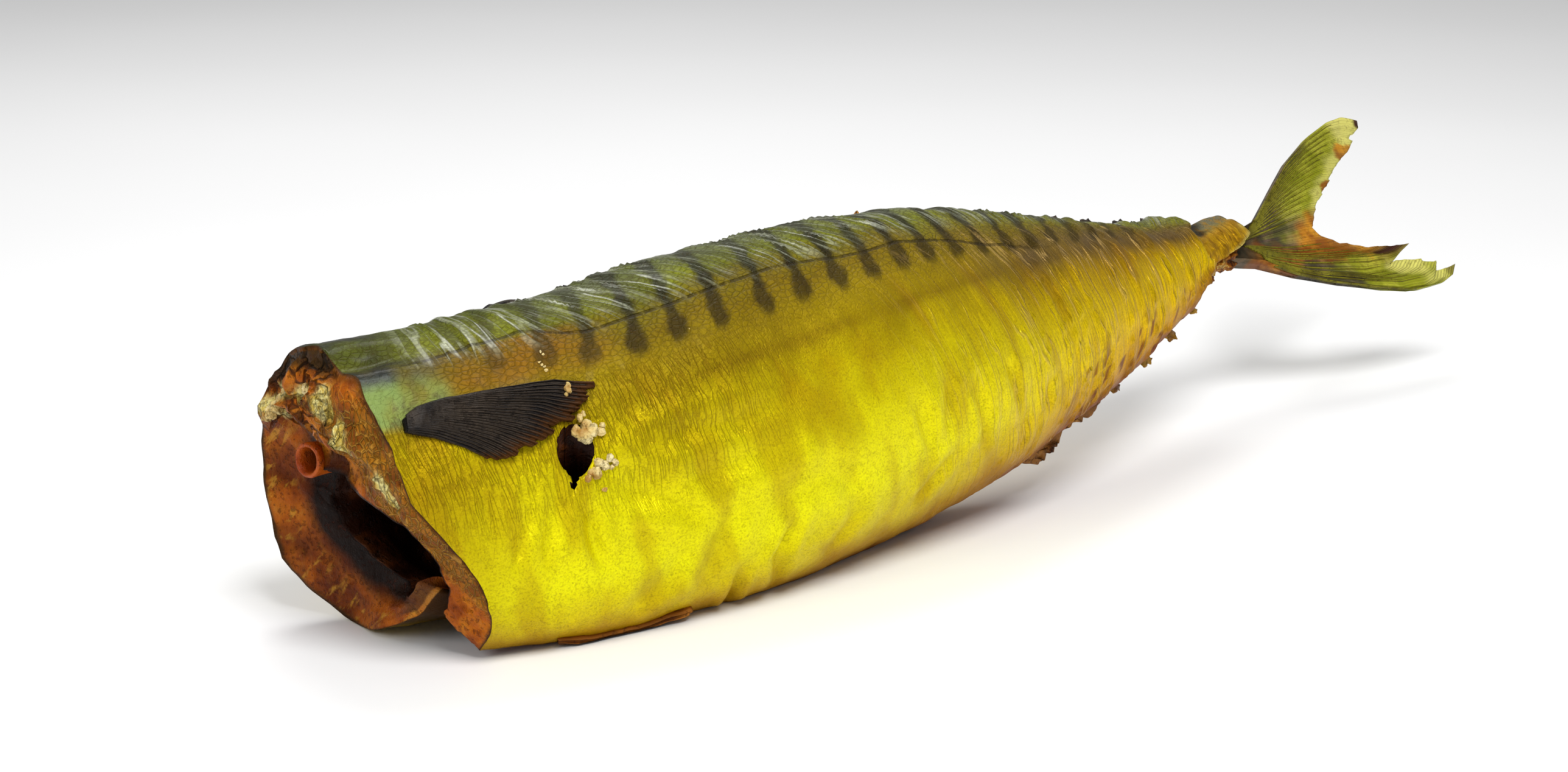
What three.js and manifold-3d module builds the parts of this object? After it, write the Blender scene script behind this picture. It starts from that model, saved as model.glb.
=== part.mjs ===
// A smoked mackerel, headed and gutted, lying on its slit belly with its back leaning
// towards its right side. Millimetres, +Z up. +X runs from the cut end to the tail,
// and the fish's left side faces -Y.
import * as THREE from "three";
import { mergeVertices } from "three/addons/utils/BufferGeometryUtils.js";
import Module from "manifold-3d";

const wasm = await Module();
wasm.setup();

// ---------------------------------------------------------------- driving dimensions

const BODY_LENGTH = 246; // along the body's axis, from the cut to the root of the tail fin
const OVERRUN = 40; // how far the uncut body runs on past the cut, towards the missing head
const GAP = 0.3; // between pieces that meet
const RING_STEP = 6; // between the rings of the body
const RING_POINTS = 36; // round each ring of the body
const CAVITY_STEP = 9; // between the rings of the belly cavity, and of its slit
const CAVITY_POINTS = 24; // round each ring of the cavity
const BONE_STEP = 12; // between the rings of the backbone
const BONE_POINTS = 12; // round each ring of the backbone
const TEAR_POINTS = 10; // round the hole in the flank

// The axis of the body, which is its widest line: x and y in plan, and the height over the table.
const AXIS_ROUTE = [
  [-195, -2, 24],
  [-155, -8, 25],
  [-115, -14, 26],
  [-75, -16, 29],
  [-35, -14, 33],
  [3, -7, 36],
  [33, 1, 37],
  [59, 9, 37],
  [93, 19, 37],
];

// The sections: the distance from the cut, the height of the back over the axis, the depth
// of the belly under it, half the width, the lean of the back towards the right side in
// degrees, how full the lower half is, where 1 is an ellipse and less is squarer, and how
// far the keel sags to the right.
const SECTIONS = [
  { at: -40, back: 28, belly: 28, half: 22, lean: 12, full: 0.78, keel: 0 },
  { at: 0, back: 29.5, belly: 28, half: 23, lean: 12, full: 0.78, keel: 0 },
  { at: 40, back: 32, belly: 30, half: 24, lean: 13, full: 0.78, keel: 0 },
  { at: 80, back: 35, belly: 32, half: 24, lean: 16, full: 0.88, keel: 5 },
  { at: 120, back: 33, belly: 31, half: 22.5, lean: 21, full: 1, keel: 11 },
  { at: 155, back: 25.5, belly: 25.5, half: 18, lean: 27, full: 1, keel: 7 },
  { at: 185, back: 17, belly: 18.5, half: 13.5, lean: 33, full: 1, keel: 3 },
  { at: 210, back: 11, belly: 12, half: 9.5, lean: 37, full: 1, keel: 1 },
  { at: 230, back: 7.5, belly: 7.5, half: 6.5, lean: 40, full: 1, keel: 0 },
  { at: 246, back: 6.5, belly: 6.5, half: 4.5, lean: 41, full: 1, keel: 0 },
];
const BACK_FULL = 0.92; // the same fullness over the axis

// The head cut: how far its top leads and its left edge trails, in degrees, and how far its
// plane's middle lies under the axis. CORNER is the same for the torn lower corner.
const CUT = { leads: 1, trails: 3, under: 0 };
const CORNER = { leads: 28, trails: 17, under: 4 };

// The belly cavity: its roof over the axis, its floor under it, and half its width.
const CAVITY = [
  { at: -40, roof: 5, floor: 21.5, half: 16 },
  { at: 0, roof: 5, floor: 21.5, half: 16.5 },
  { at: 45, roof: 4, floor: 24, half: 17 },
  { at: 85, roof: 2, floor: 27, half: 14.5 },
  { at: 110, roof: -3, floor: 25, half: 9 },
  { at: 126, roof: -10, floor: 21, half: 3 },
];
const CAVITY_FULL = 0.85; // how full the cavity's roof and floor are

// The slit along the belly: its width, and how far its middle lies to the left of the keel.
const SLIT = [
  { at: -40, width: 18, left: 3 },
  { at: 6, width: 16, left: 3 },
  { at: 30, width: 6, left: 5 },
  { at: 70, width: 3, left: 4 },
  { at: 132, width: 1.6, left: 0 },
];
const SLIT_OVERLAP = 5; // how far the slit's cut starts over the cavity's floor
const SLIT_BOTTOM = 44; // how far under the axis it ends, outside the belly

// The hole torn in the left flank behind the pectoral fin, and how far in and out its cut runs.
const TEAR = { at: 37, turn: 0.226, long: 6.5, high: 9, inwards: 16, outwards: 6 };

// The fins that lie on the skin, each a sheet between two edges: where an edge starts and
// ends, as a distance from the cut and a turn round the body. The right pectoral fin
// mirrors the left.
const FIN_THICKNESS = 0.9;
const SUNK = 2; // how deep a standing fin's root goes into the body before the body is cut out of it
const SKIN_CLEARANCE = 0.5; // under a fin that lies on the faceted skin
const PECTORAL = {
  leading: { from: [7, 0.176], to: [43, 0.173] },
  trailing: { from: [8, 0.19], to: [27, 0.228] },
};
const PELVIC_LEFT = {
  leading: { from: [33, 0.4], to: [60, 0.41] },
  trailing: { from: [34, 0.43], to: [50, 0.438] },
};
const PELVIC_RIGHT = {
  leading: { from: [33, 0.65], to: [60, 0.64] },
  trailing: { from: [34, 0.62], to: [50, 0.612] },
};
const FIRST_DORSAL = {
  leading: { from: [34, 0.95], to: [72, 0.94] },
  trailing: { from: [34, 0.92], to: [60, 0.92] },
};

// The fins that stand on the skin: where the base starts and ends, its turn, how high the
// fin's front is, how far its top sweeps back, and how much of the height is left at the
// rear. The top sweeps back less at the rear, by REAR_SWEEP.
const REAR_SWEEP = 0.6;
const SECOND_DORSAL = { start: 124, end: 144, turn: 0.965, height: 5, sweep: 9, rear: 0.3 };
const ANAL = { start: 150, end: 172, turn: 0.49, height: 5, sweep: 8, rear: 0.3 };
const FINLETS = { count: 5, start: 180, pitch: 12, length: 6, height: 3, sweep: 4.5, rear: 0.2 };

// The tail fin: its axis and its spread, as directions; the half width of its root; how far
// the fork lies from the root; and how far from the root and off the axis each leading
// edge's stalk, its bend and its tip lie.
const TAIL = {
  axis: new THREE.Vector3(69, 8, 1),
  spread: new THREE.Vector3(-3, 30, 34),
  root: 3.2,
  fork: 30,
  stalk: [14, 3.5],
  bend: [40, 27],
  tip: [70, 22.5],
  thickness: { root: 2.4, margin: 0.9 },
};

// The backbone: its radius at the cut and at its end, how far it lies over the axis at the
// cut, how steeply that falls off behind it, and where it ends.
const BONE = { front: 3.4, rear: 1.6, rise: 9, fall: 1.5, end: 236 };

// The blocks that cut the pieces off in front of the head cut and under the table.
const FRONT_BLOCK = 200;
const TABLE_BLOCK = { long: 600, wide: 300, deep: 60 };

// ---------------------------------------------------------------- the body's surface

const axisPoints = AXIS_ROUTE.map((p) => new THREE.Vector3(...p));
const axis = new THREE.CatmullRomCurve3(axisPoints, false, "centripetal");
const AXIS_LENGTH = axis.getLength();
const { clamp, degToRad, lerp } = THREE.MathUtils;

// A smooth value between the rows of a table, by a cubic through its neighbours.
function between(rows, key, at) {
  const found = rows.findIndex((row) => row.at > at);
  const k = clamp(found < 0 ? rows.length : found, 1, rows.length - 1) - 1;
  const slope = (j) => {
    const [before, after] = [rows[Math.max(0, j - 1)], rows[Math.min(rows.length - 1, j + 1)]];
    return (after[key] - before[key]) / (after.at - before.at);
  };
  const [a, b] = [rows[k], rows[k + 1]];
  const wide = b.at - a.at;
  const t = clamp((at - a.at) / wide, 0, 1);
  const values = a[key] * (1 + 2 * t) * (1 - t) ** 2 + b[key] * t * t * (3 - 2 * t);
  return values + slope(k) * wide * t * (1 - t) ** 2 - slope(k + 1) * wide * t * t * (1 - t);
}

// The section's frame at a distance from the cut: its centre, the way along, the fish's
// left, and its leaning up.
function sectionFrame(at) {
  const share = clamp((at + OVERRUN) / AXIS_LENGTH, 0, 1);
  const centre = axis.getPointAt(share);
  const along = axis.getTangentAt(share);
  const level = new THREE.Vector3(along.y, -along.x, 0).normalize();
  const upright = new THREE.Vector3().crossVectors(along, level).negate();
  const lean = degToRad(between(SECTIONS, "lean", at));
  const [sine, cosine] = [Math.sin(lean), Math.cos(lean)];
  const left = level.clone().multiplyScalar(cosine).addScaledVector(upright, sine);
  const up = upright.clone().multiplyScalar(cosine).addScaledVector(level, -sine);
  return { centre, left, up };
}

// A point given by its place in a section: so far to the left, and so far up. The lower
// half sags to the right.
function inSection(at, toLeft, upwards) {
  const { centre, left, up } = sectionFrame(at);
  const depth = Math.max(0, -upwards) / between(SECTIONS, "belly", at);
  const sag = between(SECTIONS, "keel", at) * depth ** 2;
  return centre.clone().addScaledVector(left, toLeft - sag).addScaledVector(up, upwards);
}

const power = (value, exponent) => Math.sign(value) * Math.abs(value) ** exponent;

// A point of the skin. turn is 0 on the back, a quarter on the left flank, a half on the belly.
function skinPoint(at, turn, lift = 0) {
  const angle = turn * 2 * Math.PI;
  const [s, c] = [Math.sin(angle), Math.cos(angle)];
  const full = c > 0 ? BACK_FULL : between(SECTIONS, "full", at);
  const tall = between(SECTIONS, c > 0 ? "back" : "belly", at) + lift;
  const wide = between(SECTIONS, "half", at) + lift;
  return inSection(at, wide * power(s, full), tall * power(c, full));
}

// ---------------------------------------------------------------- solids

function meshOf(points, faces) {
  const made = new THREE.BufferGeometry().setFromPoints(points);
  made.setIndex(faces);
  return made;
}

// Rings of points, in order, as one closed solid with a fan on each end.
function loft(rings) {
  const n = rings[0].length;
  const middle = (ring) => {
    return ring.reduce((sum, p) => sum.add(p), new THREE.Vector3()).divideScalar(n);
  };
  const points = [...rings.flat(), middle(rings[0]), middle(rings.at(-1))];
  const first = rings.length * n;
  const rear = first - n;
  const faces = [];
  for (let i = 0; i < n; i++) {
    const next = (i + 1) % n;
    for (let r = 0; r < rear; r += n) {
      faces.push(r + i, r + next, r + n + i, r + next, r + n + next, r + n + i);
    }
    faces.push(first, next, i, first + 1, rear + i, rear + next);
  }
  return solidOf(meshOf(points, faces));
}

// A closed solid between two sheets of points, each given over u and v from 0 to 1.
function slab(uSteps, vSteps, over, under) {
  const wide = vSteps + 1;
  const sheet = (surface) => {
    const place = (k) => surface(Math.floor(k / wide) / uSteps, (k % wide) / vSteps);
    return Array.from({ length: (uSteps + 1) * wide }, (_, k) => place(k));
  };
  const points = [...sheet(over), ...sheet(under)];
  const down = points.length / 2; // from a point of the upper sheet to the one under it
  const faces = [];
  const quad = (a, b, c, d) => faces.push(a, b, c, a, c, d);
  for (let i = 0; i < uSteps; i++) {
    for (let j = 0; j < vSteps; j++) {
      const k = i * wide + j;
      quad(k, k + wide, k + wide + 1, k + 1);
      quad(down + k, down + k + 1, down + k + wide + 1, down + k + wide);
    }
  }
  for (let i = 0; i < uSteps; i++) {
    const [near, far] = [i * wide, i * wide + vSteps];
    quad(near, down + near, down + near + wide, near + wide);
    quad(far, far + wide, down + far + wide, down + far);
  }
  for (let j = 0; j < vSteps; j++) {
    const rear = uSteps * wide + j;
    quad(j, j + 1, down + j + 1, down + j);
    quad(rear, down + rear, down + rear + 1, rear + 1);
  }
  return solidOf(meshOf(points, faces));
}

function solidOf(geometry) {
  geometry.deleteAttribute("normal");
  geometry.deleteAttribute("uv");
  const merged = mergeVertices(geometry, 1e-4);
  const mesh = new wasm.Mesh({
    numProp: 3,
    vertProperties: new Float32Array(merged.attributes.position.array),
    triVerts: new Uint32Array(merged.index.array),
  });
  const solid = new wasm.Manifold(mesh);
  if (solid.volume() > 0) return solid;
  mesh.triVerts.reverse();
  return new wasm.Manifold(mesh);
}

function geometryOf(solid) {
  const mesh = solid.getMesh();
  const made = new THREE.BufferGeometry();
  made.setAttribute("position", new THREE.BufferAttribute(new Float32Array(mesh.vertProperties), 3));
  made.setIndex(new THREE.BufferAttribute(new Uint32Array(mesh.triVerts), 1));
  made.computeVertexNormals();
  return made;
}

// Places from a start to an end, no more than a step apart.
const placesFrom = (start, end, step) => {
  const count = Math.ceil((end - start) / step);
  return Array.from({ length: count + 1 }, (_, i) => lerp(start, end, i / count));
};

// A ring of points, each given by its angle.
const ringOf = (count, pointAt) => {
  return Array.from({ length: count }, (_, i) => pointAt((i / count) * 2 * Math.PI));
};

// ---------------------------------------------------------------- the body

// The body before any cut, with its skin lifted by a margin.
function outerBody(lift = 0) {
  const ring = (at) => {
    return Array.from({ length: RING_POINTS }, (_, i) => skinPoint(at, i / RING_POINTS, lift));
  };
  return loft(placesFrom(-OVERRUN, BODY_LENGTH + lift, RING_STEP).map(ring));
}

// Everything in front of a cut.
function frontBlock({ leads, trails, under }) {
  const block = new THREE.BoxGeometry(FRONT_BLOCK, FRONT_BLOCK, FRONT_BLOCK);
  block.translate(-FRONT_BLOCK / 2, 0, 0);
  block.rotateY(degToRad(-leads)).rotateZ(degToRad(trails));
  const { centre } = sectionFrame(0);
  return solidOf(block.translate(centre.x, centre.y, centre.z - under));
}

function bellyCavity() {
  const ring = (at) => {
    const [roof, floor] = [between(CAVITY, "roof", at), between(CAVITY, "floor", at)];
    const half = between(CAVITY, "half", at);
    return ringOf(CAVITY_POINTS, (angle) => {
      const upwards = ((roof + floor) / 2) * power(Math.cos(angle), CAVITY_FULL);
      return inSection(at, half * Math.sin(angle), (roof - floor) / 2 + upwards);
    });
  };
  return loft(placesFrom(CAVITY[0].at, CAVITY.at(-1).at, CAVITY_STEP).map(ring));
}

function bellySlit() {
  const ring = (at) => {
    const [half, left] = [between(SLIT, "width", at) / 2, between(SLIT, "left", at)];
    const top = between(CAVITY, "floor", at) - SLIT_OVERLAP;
    return [
      inSection(at, left + half, -top),
      inSection(at, left - half, -top),
      inSection(at, left - half, -SLIT_BOTTOM),
      inSection(at, left + half, -SLIT_BOTTOM),
    ];
  };
  return loft(placesFrom(SLIT[0].at, SLIT.at(-1).at, CAVITY_STEP).map(ring));
}

// Everything under the table's surface.
function tableBlock() {
  const { long, wide, deep } = TABLE_BLOCK;
  return solidOf(new THREE.BoxGeometry(long, wide, deep).translate(0, 0, -deep / 2));
}

// A round bar along the line of the backbone, thicker than the bone by a margin.
function boneBar(start, end, spare) {
  const ring = (at) => {
    const share = clamp(at / BONE.end, 0, 1);
    const radius = lerp(BONE.front, BONE.rear, share) + spare;
    const rise = BONE.rise * (1 - share) ** BONE.fall;
    return ringOf(BONE_POINTS, (angle) => {
      return inSection(at, radius * Math.sin(angle), rise + radius * Math.cos(angle));
    });
  };
  return loft(placesFrom(start, end, BONE_STEP).map(ring));
}

// The hole through the left flank: a bar of oval section, straight through the wall.
function tearBar() {
  const middle = skinPoint(TEAR.at, TEAR.turn).sub(sectionFrame(TEAR.at).centre);
  const ring = (depth) => {
    return ringOf(TEAR_POINTS, (angle) => {
      const at = TEAR.at + (TEAR.long / 2) * Math.cos(angle);
      const { centre, left, up } = sectionFrame(at);
      return centre
        .clone()
        .addScaledVector(left, middle.dot(left) + depth)
        .addScaledVector(up, middle.dot(up) + (TEAR.high / 2) * Math.sin(angle));
    });
  };
  return loft([ring(-TEAR.inwards), ring(TEAR.outwards)]);
}

// ---------------------------------------------------------------- the fins

// A fin lying along the skin, between its leading and its trailing edge.
function lyingFin({ leading, trailing }, mirrored = false) {
  const onEdge = ({ from, to }, u) => from.map((start, k) => lerp(start, to[k], u));
  const place = (u, v) => {
    const [front, rear] = [onEdge(leading, u), onEdge(trailing, u)];
    const [at, turn] = front.map((value, k) => lerp(value, rear[k], v));
    return [at, mirrored ? 1 - turn : turn];
  };
  const over = (u, v) => skinPoint(...place(u, v), SKIN_CLEARANCE + FIN_THICKNESS);
  const under = (u, v) => skinPoint(...place(u, v), SKIN_CLEARANCE);
  return slab(6, 4, over, under);
}

// A fin standing on the skin, its root sunk into the skin before it is trimmed.
function standingFin({ start, end, turn, height, sweep, rear }) {
  const side = (sign) => (u, v) => {
    const tall = height * lerp(1, rear, u);
    const at = lerp(start, end, u) + sweep * v * lerp(1, REAR_SWEEP, u);
    const middle = skinPoint(at, turn, lerp(-SUNK, tall, v));
    return middle.addScaledVector(sectionFrame(at).left, (sign * FIN_THICKNESS) / 2);
  };
  return slab(5, 3, side(1), side(-1)).subtract(clearance);
}

// The tail fin: a forked sheet across the body's end, its root sunk in like a standing fin's.
function tailFin() {
  const { centre } = sectionFrame(BODY_LENGTH);
  const along = TAIL.axis.clone().normalize();
  const spread = TAIL.spread.clone().projectOnPlane(along).normalize();
  const across = new THREE.Vector3().crossVectors(along, spread);
  const leading = new THREE.CubicBezierCurve(
    new THREE.Vector2(-SUNK, TAIL.root),
    new THREE.Vector2(...TAIL.stalk),
    new THREE.Vector2(...TAIL.bend),
    new THREE.Vector2(...TAIL.tip),
  );
  const side = (sign) => (u, v) => {
    const lobe = 2 * v - 1;
    const edge = leading.getPoint(u);
    const share = Math.abs(lobe);
    const out = lerp(lerp(-SUNK, TAIL.fork, u), edge.x, share);
    const thick = lerp(TAIL.thickness.root, TAIL.thickness.margin, Math.max(u, share ** 3));
    return centre
      .clone()
      .addScaledVector(along, out)
      .addScaledVector(spread, Math.sign(lobe) * edge.y * share)
      .addScaledVector(across, (sign * thick) / 2);
  };
  return slab(8, 10, side(1), side(-1)).subtract(clearance);
}

// ---------------------------------------------------------------- the pieces

function finish(color, roughness, metalness = 0) {
  return new THREE.MeshStandardMaterial({ color, roughness, metalness });
}
const skin = finish(0xc79a1c, 0.35, 0.3);
const bone = finish(0xd8b98a, 0.6);
const darkFin = finish(0x2b2620, 0.5);
const paleFin = finish(0xa9a23a, 0.5);
const brownFin = finish(0x7a4a1e, 0.55);

const group = new THREE.Group();
function add(name, solid, material) {
  const mesh = new THREE.Mesh(geometryOf(solid), material);
  mesh.name = name;
  group.add(mesh);
}

const head = frontBlock(CUT).add(frontBlock(CORNER));
const table = tableBlock();
const clearance = outerBody(GAP);
const body = outerBody()
  .subtract(bellyCavity())
  .subtract(bellySlit())
  .subtract(tearBar())
  .subtract(boneBar(-OVERRUN, BONE.end + GAP, GAP))
  .subtract(head)
  .subtract(table);
add("body", body, skin);
add("backbone", boneBar(-OVERRUN, BONE.end, 0).subtract(head), bone);
add("tail_fin", tailFin(), paleFin);
add("pectoral_fin_left", lyingFin(PECTORAL), darkFin);
add("pectoral_fin_right", lyingFin(PECTORAL, true), darkFin);
add("pelvic_fin_left", lyingFin(PELVIC_LEFT).subtract(table), brownFin);
add("pelvic_fin_right", lyingFin(PELVIC_RIGHT).subtract(table), brownFin);
add("first_dorsal_fin", lyingFin(FIRST_DORSAL), darkFin);
add("second_dorsal_fin", standingFin(SECOND_DORSAL), darkFin);
add("anal_fin", standingFin(ANAL), brownFin);
for (let i = 0; i < FINLETS.count; i++) {
  const start = FINLETS.start + i * FINLETS.pitch;
  const finlet = { ...FINLETS, start, end: start + FINLETS.length };
  add(`dorsal_finlet_${i + 1}`, standingFin({ ...finlet, turn: 0 }), darkFin);
  add(`anal_finlet_${i + 1}`, standingFin({ ...finlet, turn: 0.5 }), brownFin);
}

// The origin is under the middle of the fish, on the table.
const box = new THREE.Box3().setFromObject(group);
group.position.set(-(box.min.x + box.max.x) / 2, -(box.min.y + box.max.y) / 2, -box.min.z);

export default group;
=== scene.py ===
# A smoked mackerel, headed and gutted, lying on its slit belly with its back leaning towards its right side.
# Shapes are worked out in millimetres. A place on the skin is a distance from the head cut and a turn round the body:
# 0 on the back, a quarter on the left flank, a half on the belly, and negative on the right side.
import itertools
import math

import bmesh
import bpy
import numpy as np
from mathutils import Matrix, Vector


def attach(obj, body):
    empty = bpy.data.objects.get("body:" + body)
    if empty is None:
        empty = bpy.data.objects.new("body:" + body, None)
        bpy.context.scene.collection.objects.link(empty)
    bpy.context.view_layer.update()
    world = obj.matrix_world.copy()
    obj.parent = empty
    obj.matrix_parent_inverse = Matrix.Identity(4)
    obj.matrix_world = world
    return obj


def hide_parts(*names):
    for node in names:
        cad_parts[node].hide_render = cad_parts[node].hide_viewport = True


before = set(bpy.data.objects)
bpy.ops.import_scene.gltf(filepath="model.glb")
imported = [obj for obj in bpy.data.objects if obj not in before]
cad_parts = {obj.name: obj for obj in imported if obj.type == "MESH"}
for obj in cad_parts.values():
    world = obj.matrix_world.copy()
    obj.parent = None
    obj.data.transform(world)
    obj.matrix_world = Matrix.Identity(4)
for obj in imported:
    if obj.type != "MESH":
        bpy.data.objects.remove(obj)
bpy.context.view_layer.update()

# ---------------------------------------------------------------- measures, as the frame has them

AXIS_ROUTE = [
    (-195, -2, 24),
    (-155, -8, 25),
    (-115, -14, 26),
    (-75, -16, 29),
    (-35, -14, 33),
    (3, -7, 36),
    (33, 1, 37),
    (59, 9, 37),
    (93, 19, 37),
]
FRAME_SHIFT = np.array([-0.05, 0.35, 0])
OVERRUN = 40
BODY_LENGTH = 246
VENT = 128
BACK_FULL = 0.92

SECTIONS = {
    "at": [-40, 0, 40, 80, 120, 155, 185, 210, 230, 246],
    "back": [28, 29.5, 32, 35, 33, 25.5, 17, 11, 7.5, 6.5],
    "belly": [28, 28, 30, 32, 31, 25.5, 18.5, 12, 7.5, 6.5],
    "half": [22, 23, 24, 24, 22.5, 18, 13.5, 9.5, 6.5, 4.5],
    "lean": [12, 12, 13, 16, 21, 27, 33, 37, 40, 41],
    "full": [0.78, 0.78, 0.78, 0.88, 1, 1, 1, 1, 1, 1],
    "keel": [0, 0, 0, 5, 11, 7, 3, 1, 0, 0],
}
CAVITY = {
    "at": [-40, 0, 45, 85, 110, 126],
    "roof": [5, 5, 4, 2, -3, -10],
    "floor": [21.5, 21.5, 24, 27, 25, 21],
    "half": [16, 16.5, 17, 14.5, 9, 3],
}
SLIT = {"at": [-40, 6, 30, 70, 132], "width": [18, 16, 6, 3, 1.6], "left": [3, 3, 5, 4, 0]}
LIPS = {"at": [-40, 6, 30, 70, VENT], "left": [0.437, 0.437, 0.4606, 0.4717, 0.5], "right": [0.4775, 0.4775, 0.5066, 0.5111, 0.5]}
CUT = {"leads": 1, "trails": 3, "under": 0}
CORNER = {"leads": 28, "trails": 17, "under": 4}
TEAR = {"at": 36.6, "turn": 0.225, "long": 6.5, "high": 7.4}
BONE = {"front": 3.4, "rise": 9}

# The opening in the cut face, where the wall of the right side is thick: the share of the way round from the roof to
# the right lip, and how far left and up each place lies. Behind it the cavity widens again.
OPENING = {"share": [-1, -0.93, -0.85, -0.75, -0.6, -0.4, -0.2, 0, 0.15], "left": [12.5, 8, 1.5, -5, -10.5, -12, -8, 1, 8], "up": [-13, -16, -15.5, -12.5, -6, 2, 7.5, 7.6, 6.2]}
# The thin right belly flap, which curls under and up into the opening: the share of its width, and left and up.
CURL = {"share": [0, 0.35, 0.7, 1], "left": [-13, -3, 6, 12.5], "up": [-24, -22.6, -20, -14.5]}
CURL_FROM = 0.78
FLAP_THICK = 1.8

# The collar of loose skin at the tail root: how far it runs past the body's end, and how far it stands off.
COLLAR = {"past": 3.2, "flare": 1.7}
# Where the flank's dried skin ends over the tail root, and where the tail root's own skin is torn off, at each turn.
ROOT_TURN = [0, 0.1, 0.18, 0.25, 0.3, 0.33, 0.37, 0.45, 0.5]
FLANK_END = [229, 227, 222.5, 222.5, 223.5, 226.5, 223, 218.5, 217]
SKIN_END = [252, 252, 252, 250, 243, 238, 229, 224, 223]

# The lateral line, from the cut to where it fades.
LINE_AT = [0, 9, 25, 34, 45, 65, 88, 98, 108, 117, 127, 137, 147, 155, 175, 225]
LINE_TURN = [0.118, 0.104, 0.09, 0.088, 0.111, 0.114, 0.11, 0.116, 0.124, 0.124, 0.132, 0.148, 0.163, 0.174, 0.18, 0.19]

# Where each dark stripe of the back ends, below the lateral line.
STRIPES = [27, 36, 44.5, 53.5, 62, 71, 81.5, 90.5, 99.5, 107.5, 115, 122.5, 130, 138, 146, 154, 162, 170, 178, 186, 194]

# How far towards the tail a crease lies at each millimetre down the side, on the back and on the flank.
CREASE_AT = [0, 15, 30, 42, 60, 112, 126, 138, 152, 168, 246]
BACK_LEAN = [0, 0, 0.15, 0.5, 0.65, 0.6, 0.3, 0, -0.45, -0.85, -0.9]
FLANK_LEAN = [0.2, 0.2, 0.2, 0.2, 0.25, 0.33, 0.34, 0.35, 0.36, 0.3, 0.0]

# Soft folds in the flank, most of them pulled out from the tear: depth, half width, and the line of each.
FOLDS = [
    (0.7, 1.1, [(38, 0.26), (37.5, 0.285), (39, 0.316)]),
    (0.5, 1.2, [(29, 0.3), (32, 0.25)]),
    (0.5, 1.2, [(24, 0.3), (28, 0.25)]),
    (0.8, 1.7, [(41.8, 0.248), (53, 0.276), (59, 0.296)]),
    (0.5, 1.6, [(46, 0.252), (55, 0.262), (66, 0.262), (78, 0.256)]),
    (0.5, 1.6, [(46.8, 0.24), (58, 0.234), (68, 0.238), (80, 0.232)]),
    (0.5, 2.2, [(58, 0.37), (61.8, 0.32), (65.5, 0.296)]),
    (0.4, 2.4, [(44, 0.40), (52, 0.35), (56, 0.31)]),
    (0.8, 1.1, [(67, 0.45), (66.5, 0.372)]),
    (0.8, 1.3, [(77.4, 0.43), (74.6, 0.372), (77.4, 0.332)]),
    (0.5, 2.5, [(70, 0.31), (84, 0.30), (95, 0.33)]),
    (0.4, 1.6, [(88, 0.40), (92, 0.36), (90, 0.33)]),
    (0.5, 1.6, [(108, 0.39), (113, 0.36), (117, 0.345)]),
    (0.5, 1.2, [(110, 0.33), (106, 0.27)]),
    (0.45, 1.2, [(113.6, 0.32), (114.3, 0.26)]),
    (0.5, 1.2, [(125, 0.35), (121, 0.28)]),
    (0.5, 1.2, [(139, 0.40), (137, 0.35)]),
    (0.5, 1.2, [(134, 0.33), (130, 0.27)]),
    (0.5, 1.2, [(145, 0.36), (144, 0.32)]),
]

# ---------------------------------------------------------------- smooth values and random ones

RANDOM = np.random.default_rng(7).uniform(-1, 1, 1 << 16)
PRIMES = (73856093, 19349663, 83492791)


def between(table, key, at):
    """The value of a table at a distance from the cut, by a cubic through its rows."""
    places, values = np.array(table["at"], float), np.array(table[key], float)
    last = len(places) - 1
    before, after = np.maximum(np.arange(last + 1) - 1, 0), np.minimum(np.arange(last + 1) + 1, last)
    slopes = (values[after] - values[before]) / (places[after] - places[before])
    k = np.clip(np.searchsorted(places, at, side="right"), 1, last) - 1
    wide = places[k + 1] - places[k]
    t = np.clip((at - places[k]) / wide, 0, 1)
    value = values[k] * (1 + 2 * t) * (1 - t) ** 2 + values[k + 1] * t * t * (3 - 2 * t)
    return value + slopes[k] * wide * t * (1 - t) ** 2 - slopes[k + 1] * wide * t * t * (1 - t)


def rise(low, high, value):
    """0 below low, 1 above high, and smooth between them. low may be the larger."""
    t = np.clip((value - low) / (high - low), 0, 1)
    return t * t * (3 - 2 * t)


def bump(value, middle, half):
    return np.exp(-(((value - middle) / half) ** 2))


def grain(places, size, seed=0, octaves=1):
    """Smooth random values about 0, one for each place, with features about one size across."""
    places = np.asarray(places, float) / size + 17.31 * seed
    total, strength = 0.0, 1.0
    for _ in range(octaves):
        cell = np.floor(places).astype(np.int64)
        part = places - cell
        part = part * part * (3 - 2 * part)
        value = 0.0
        for corner in itertools.product((0, 1), repeat=places.shape[-1]):
            which = cell + np.array(corner)
            code = np.zeros(which.shape[:-1], np.int64)
            for k, prime in zip(range(places.shape[-1]), PRIMES):
                code ^= which[..., k] * prime
            value = value + np.prod(np.where(corner, part, 1 - part), axis=-1) * RANDOM[code & 0xFFFF]
        total = total + strength * value
        places, strength = places * 2.03 + 5.7, strength / 2
    return total


def stacked(*parts):
    return np.stack(np.broadcast_arrays(*parts), axis=-1)


# ---------------------------------------------------------------- the body's surface


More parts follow.
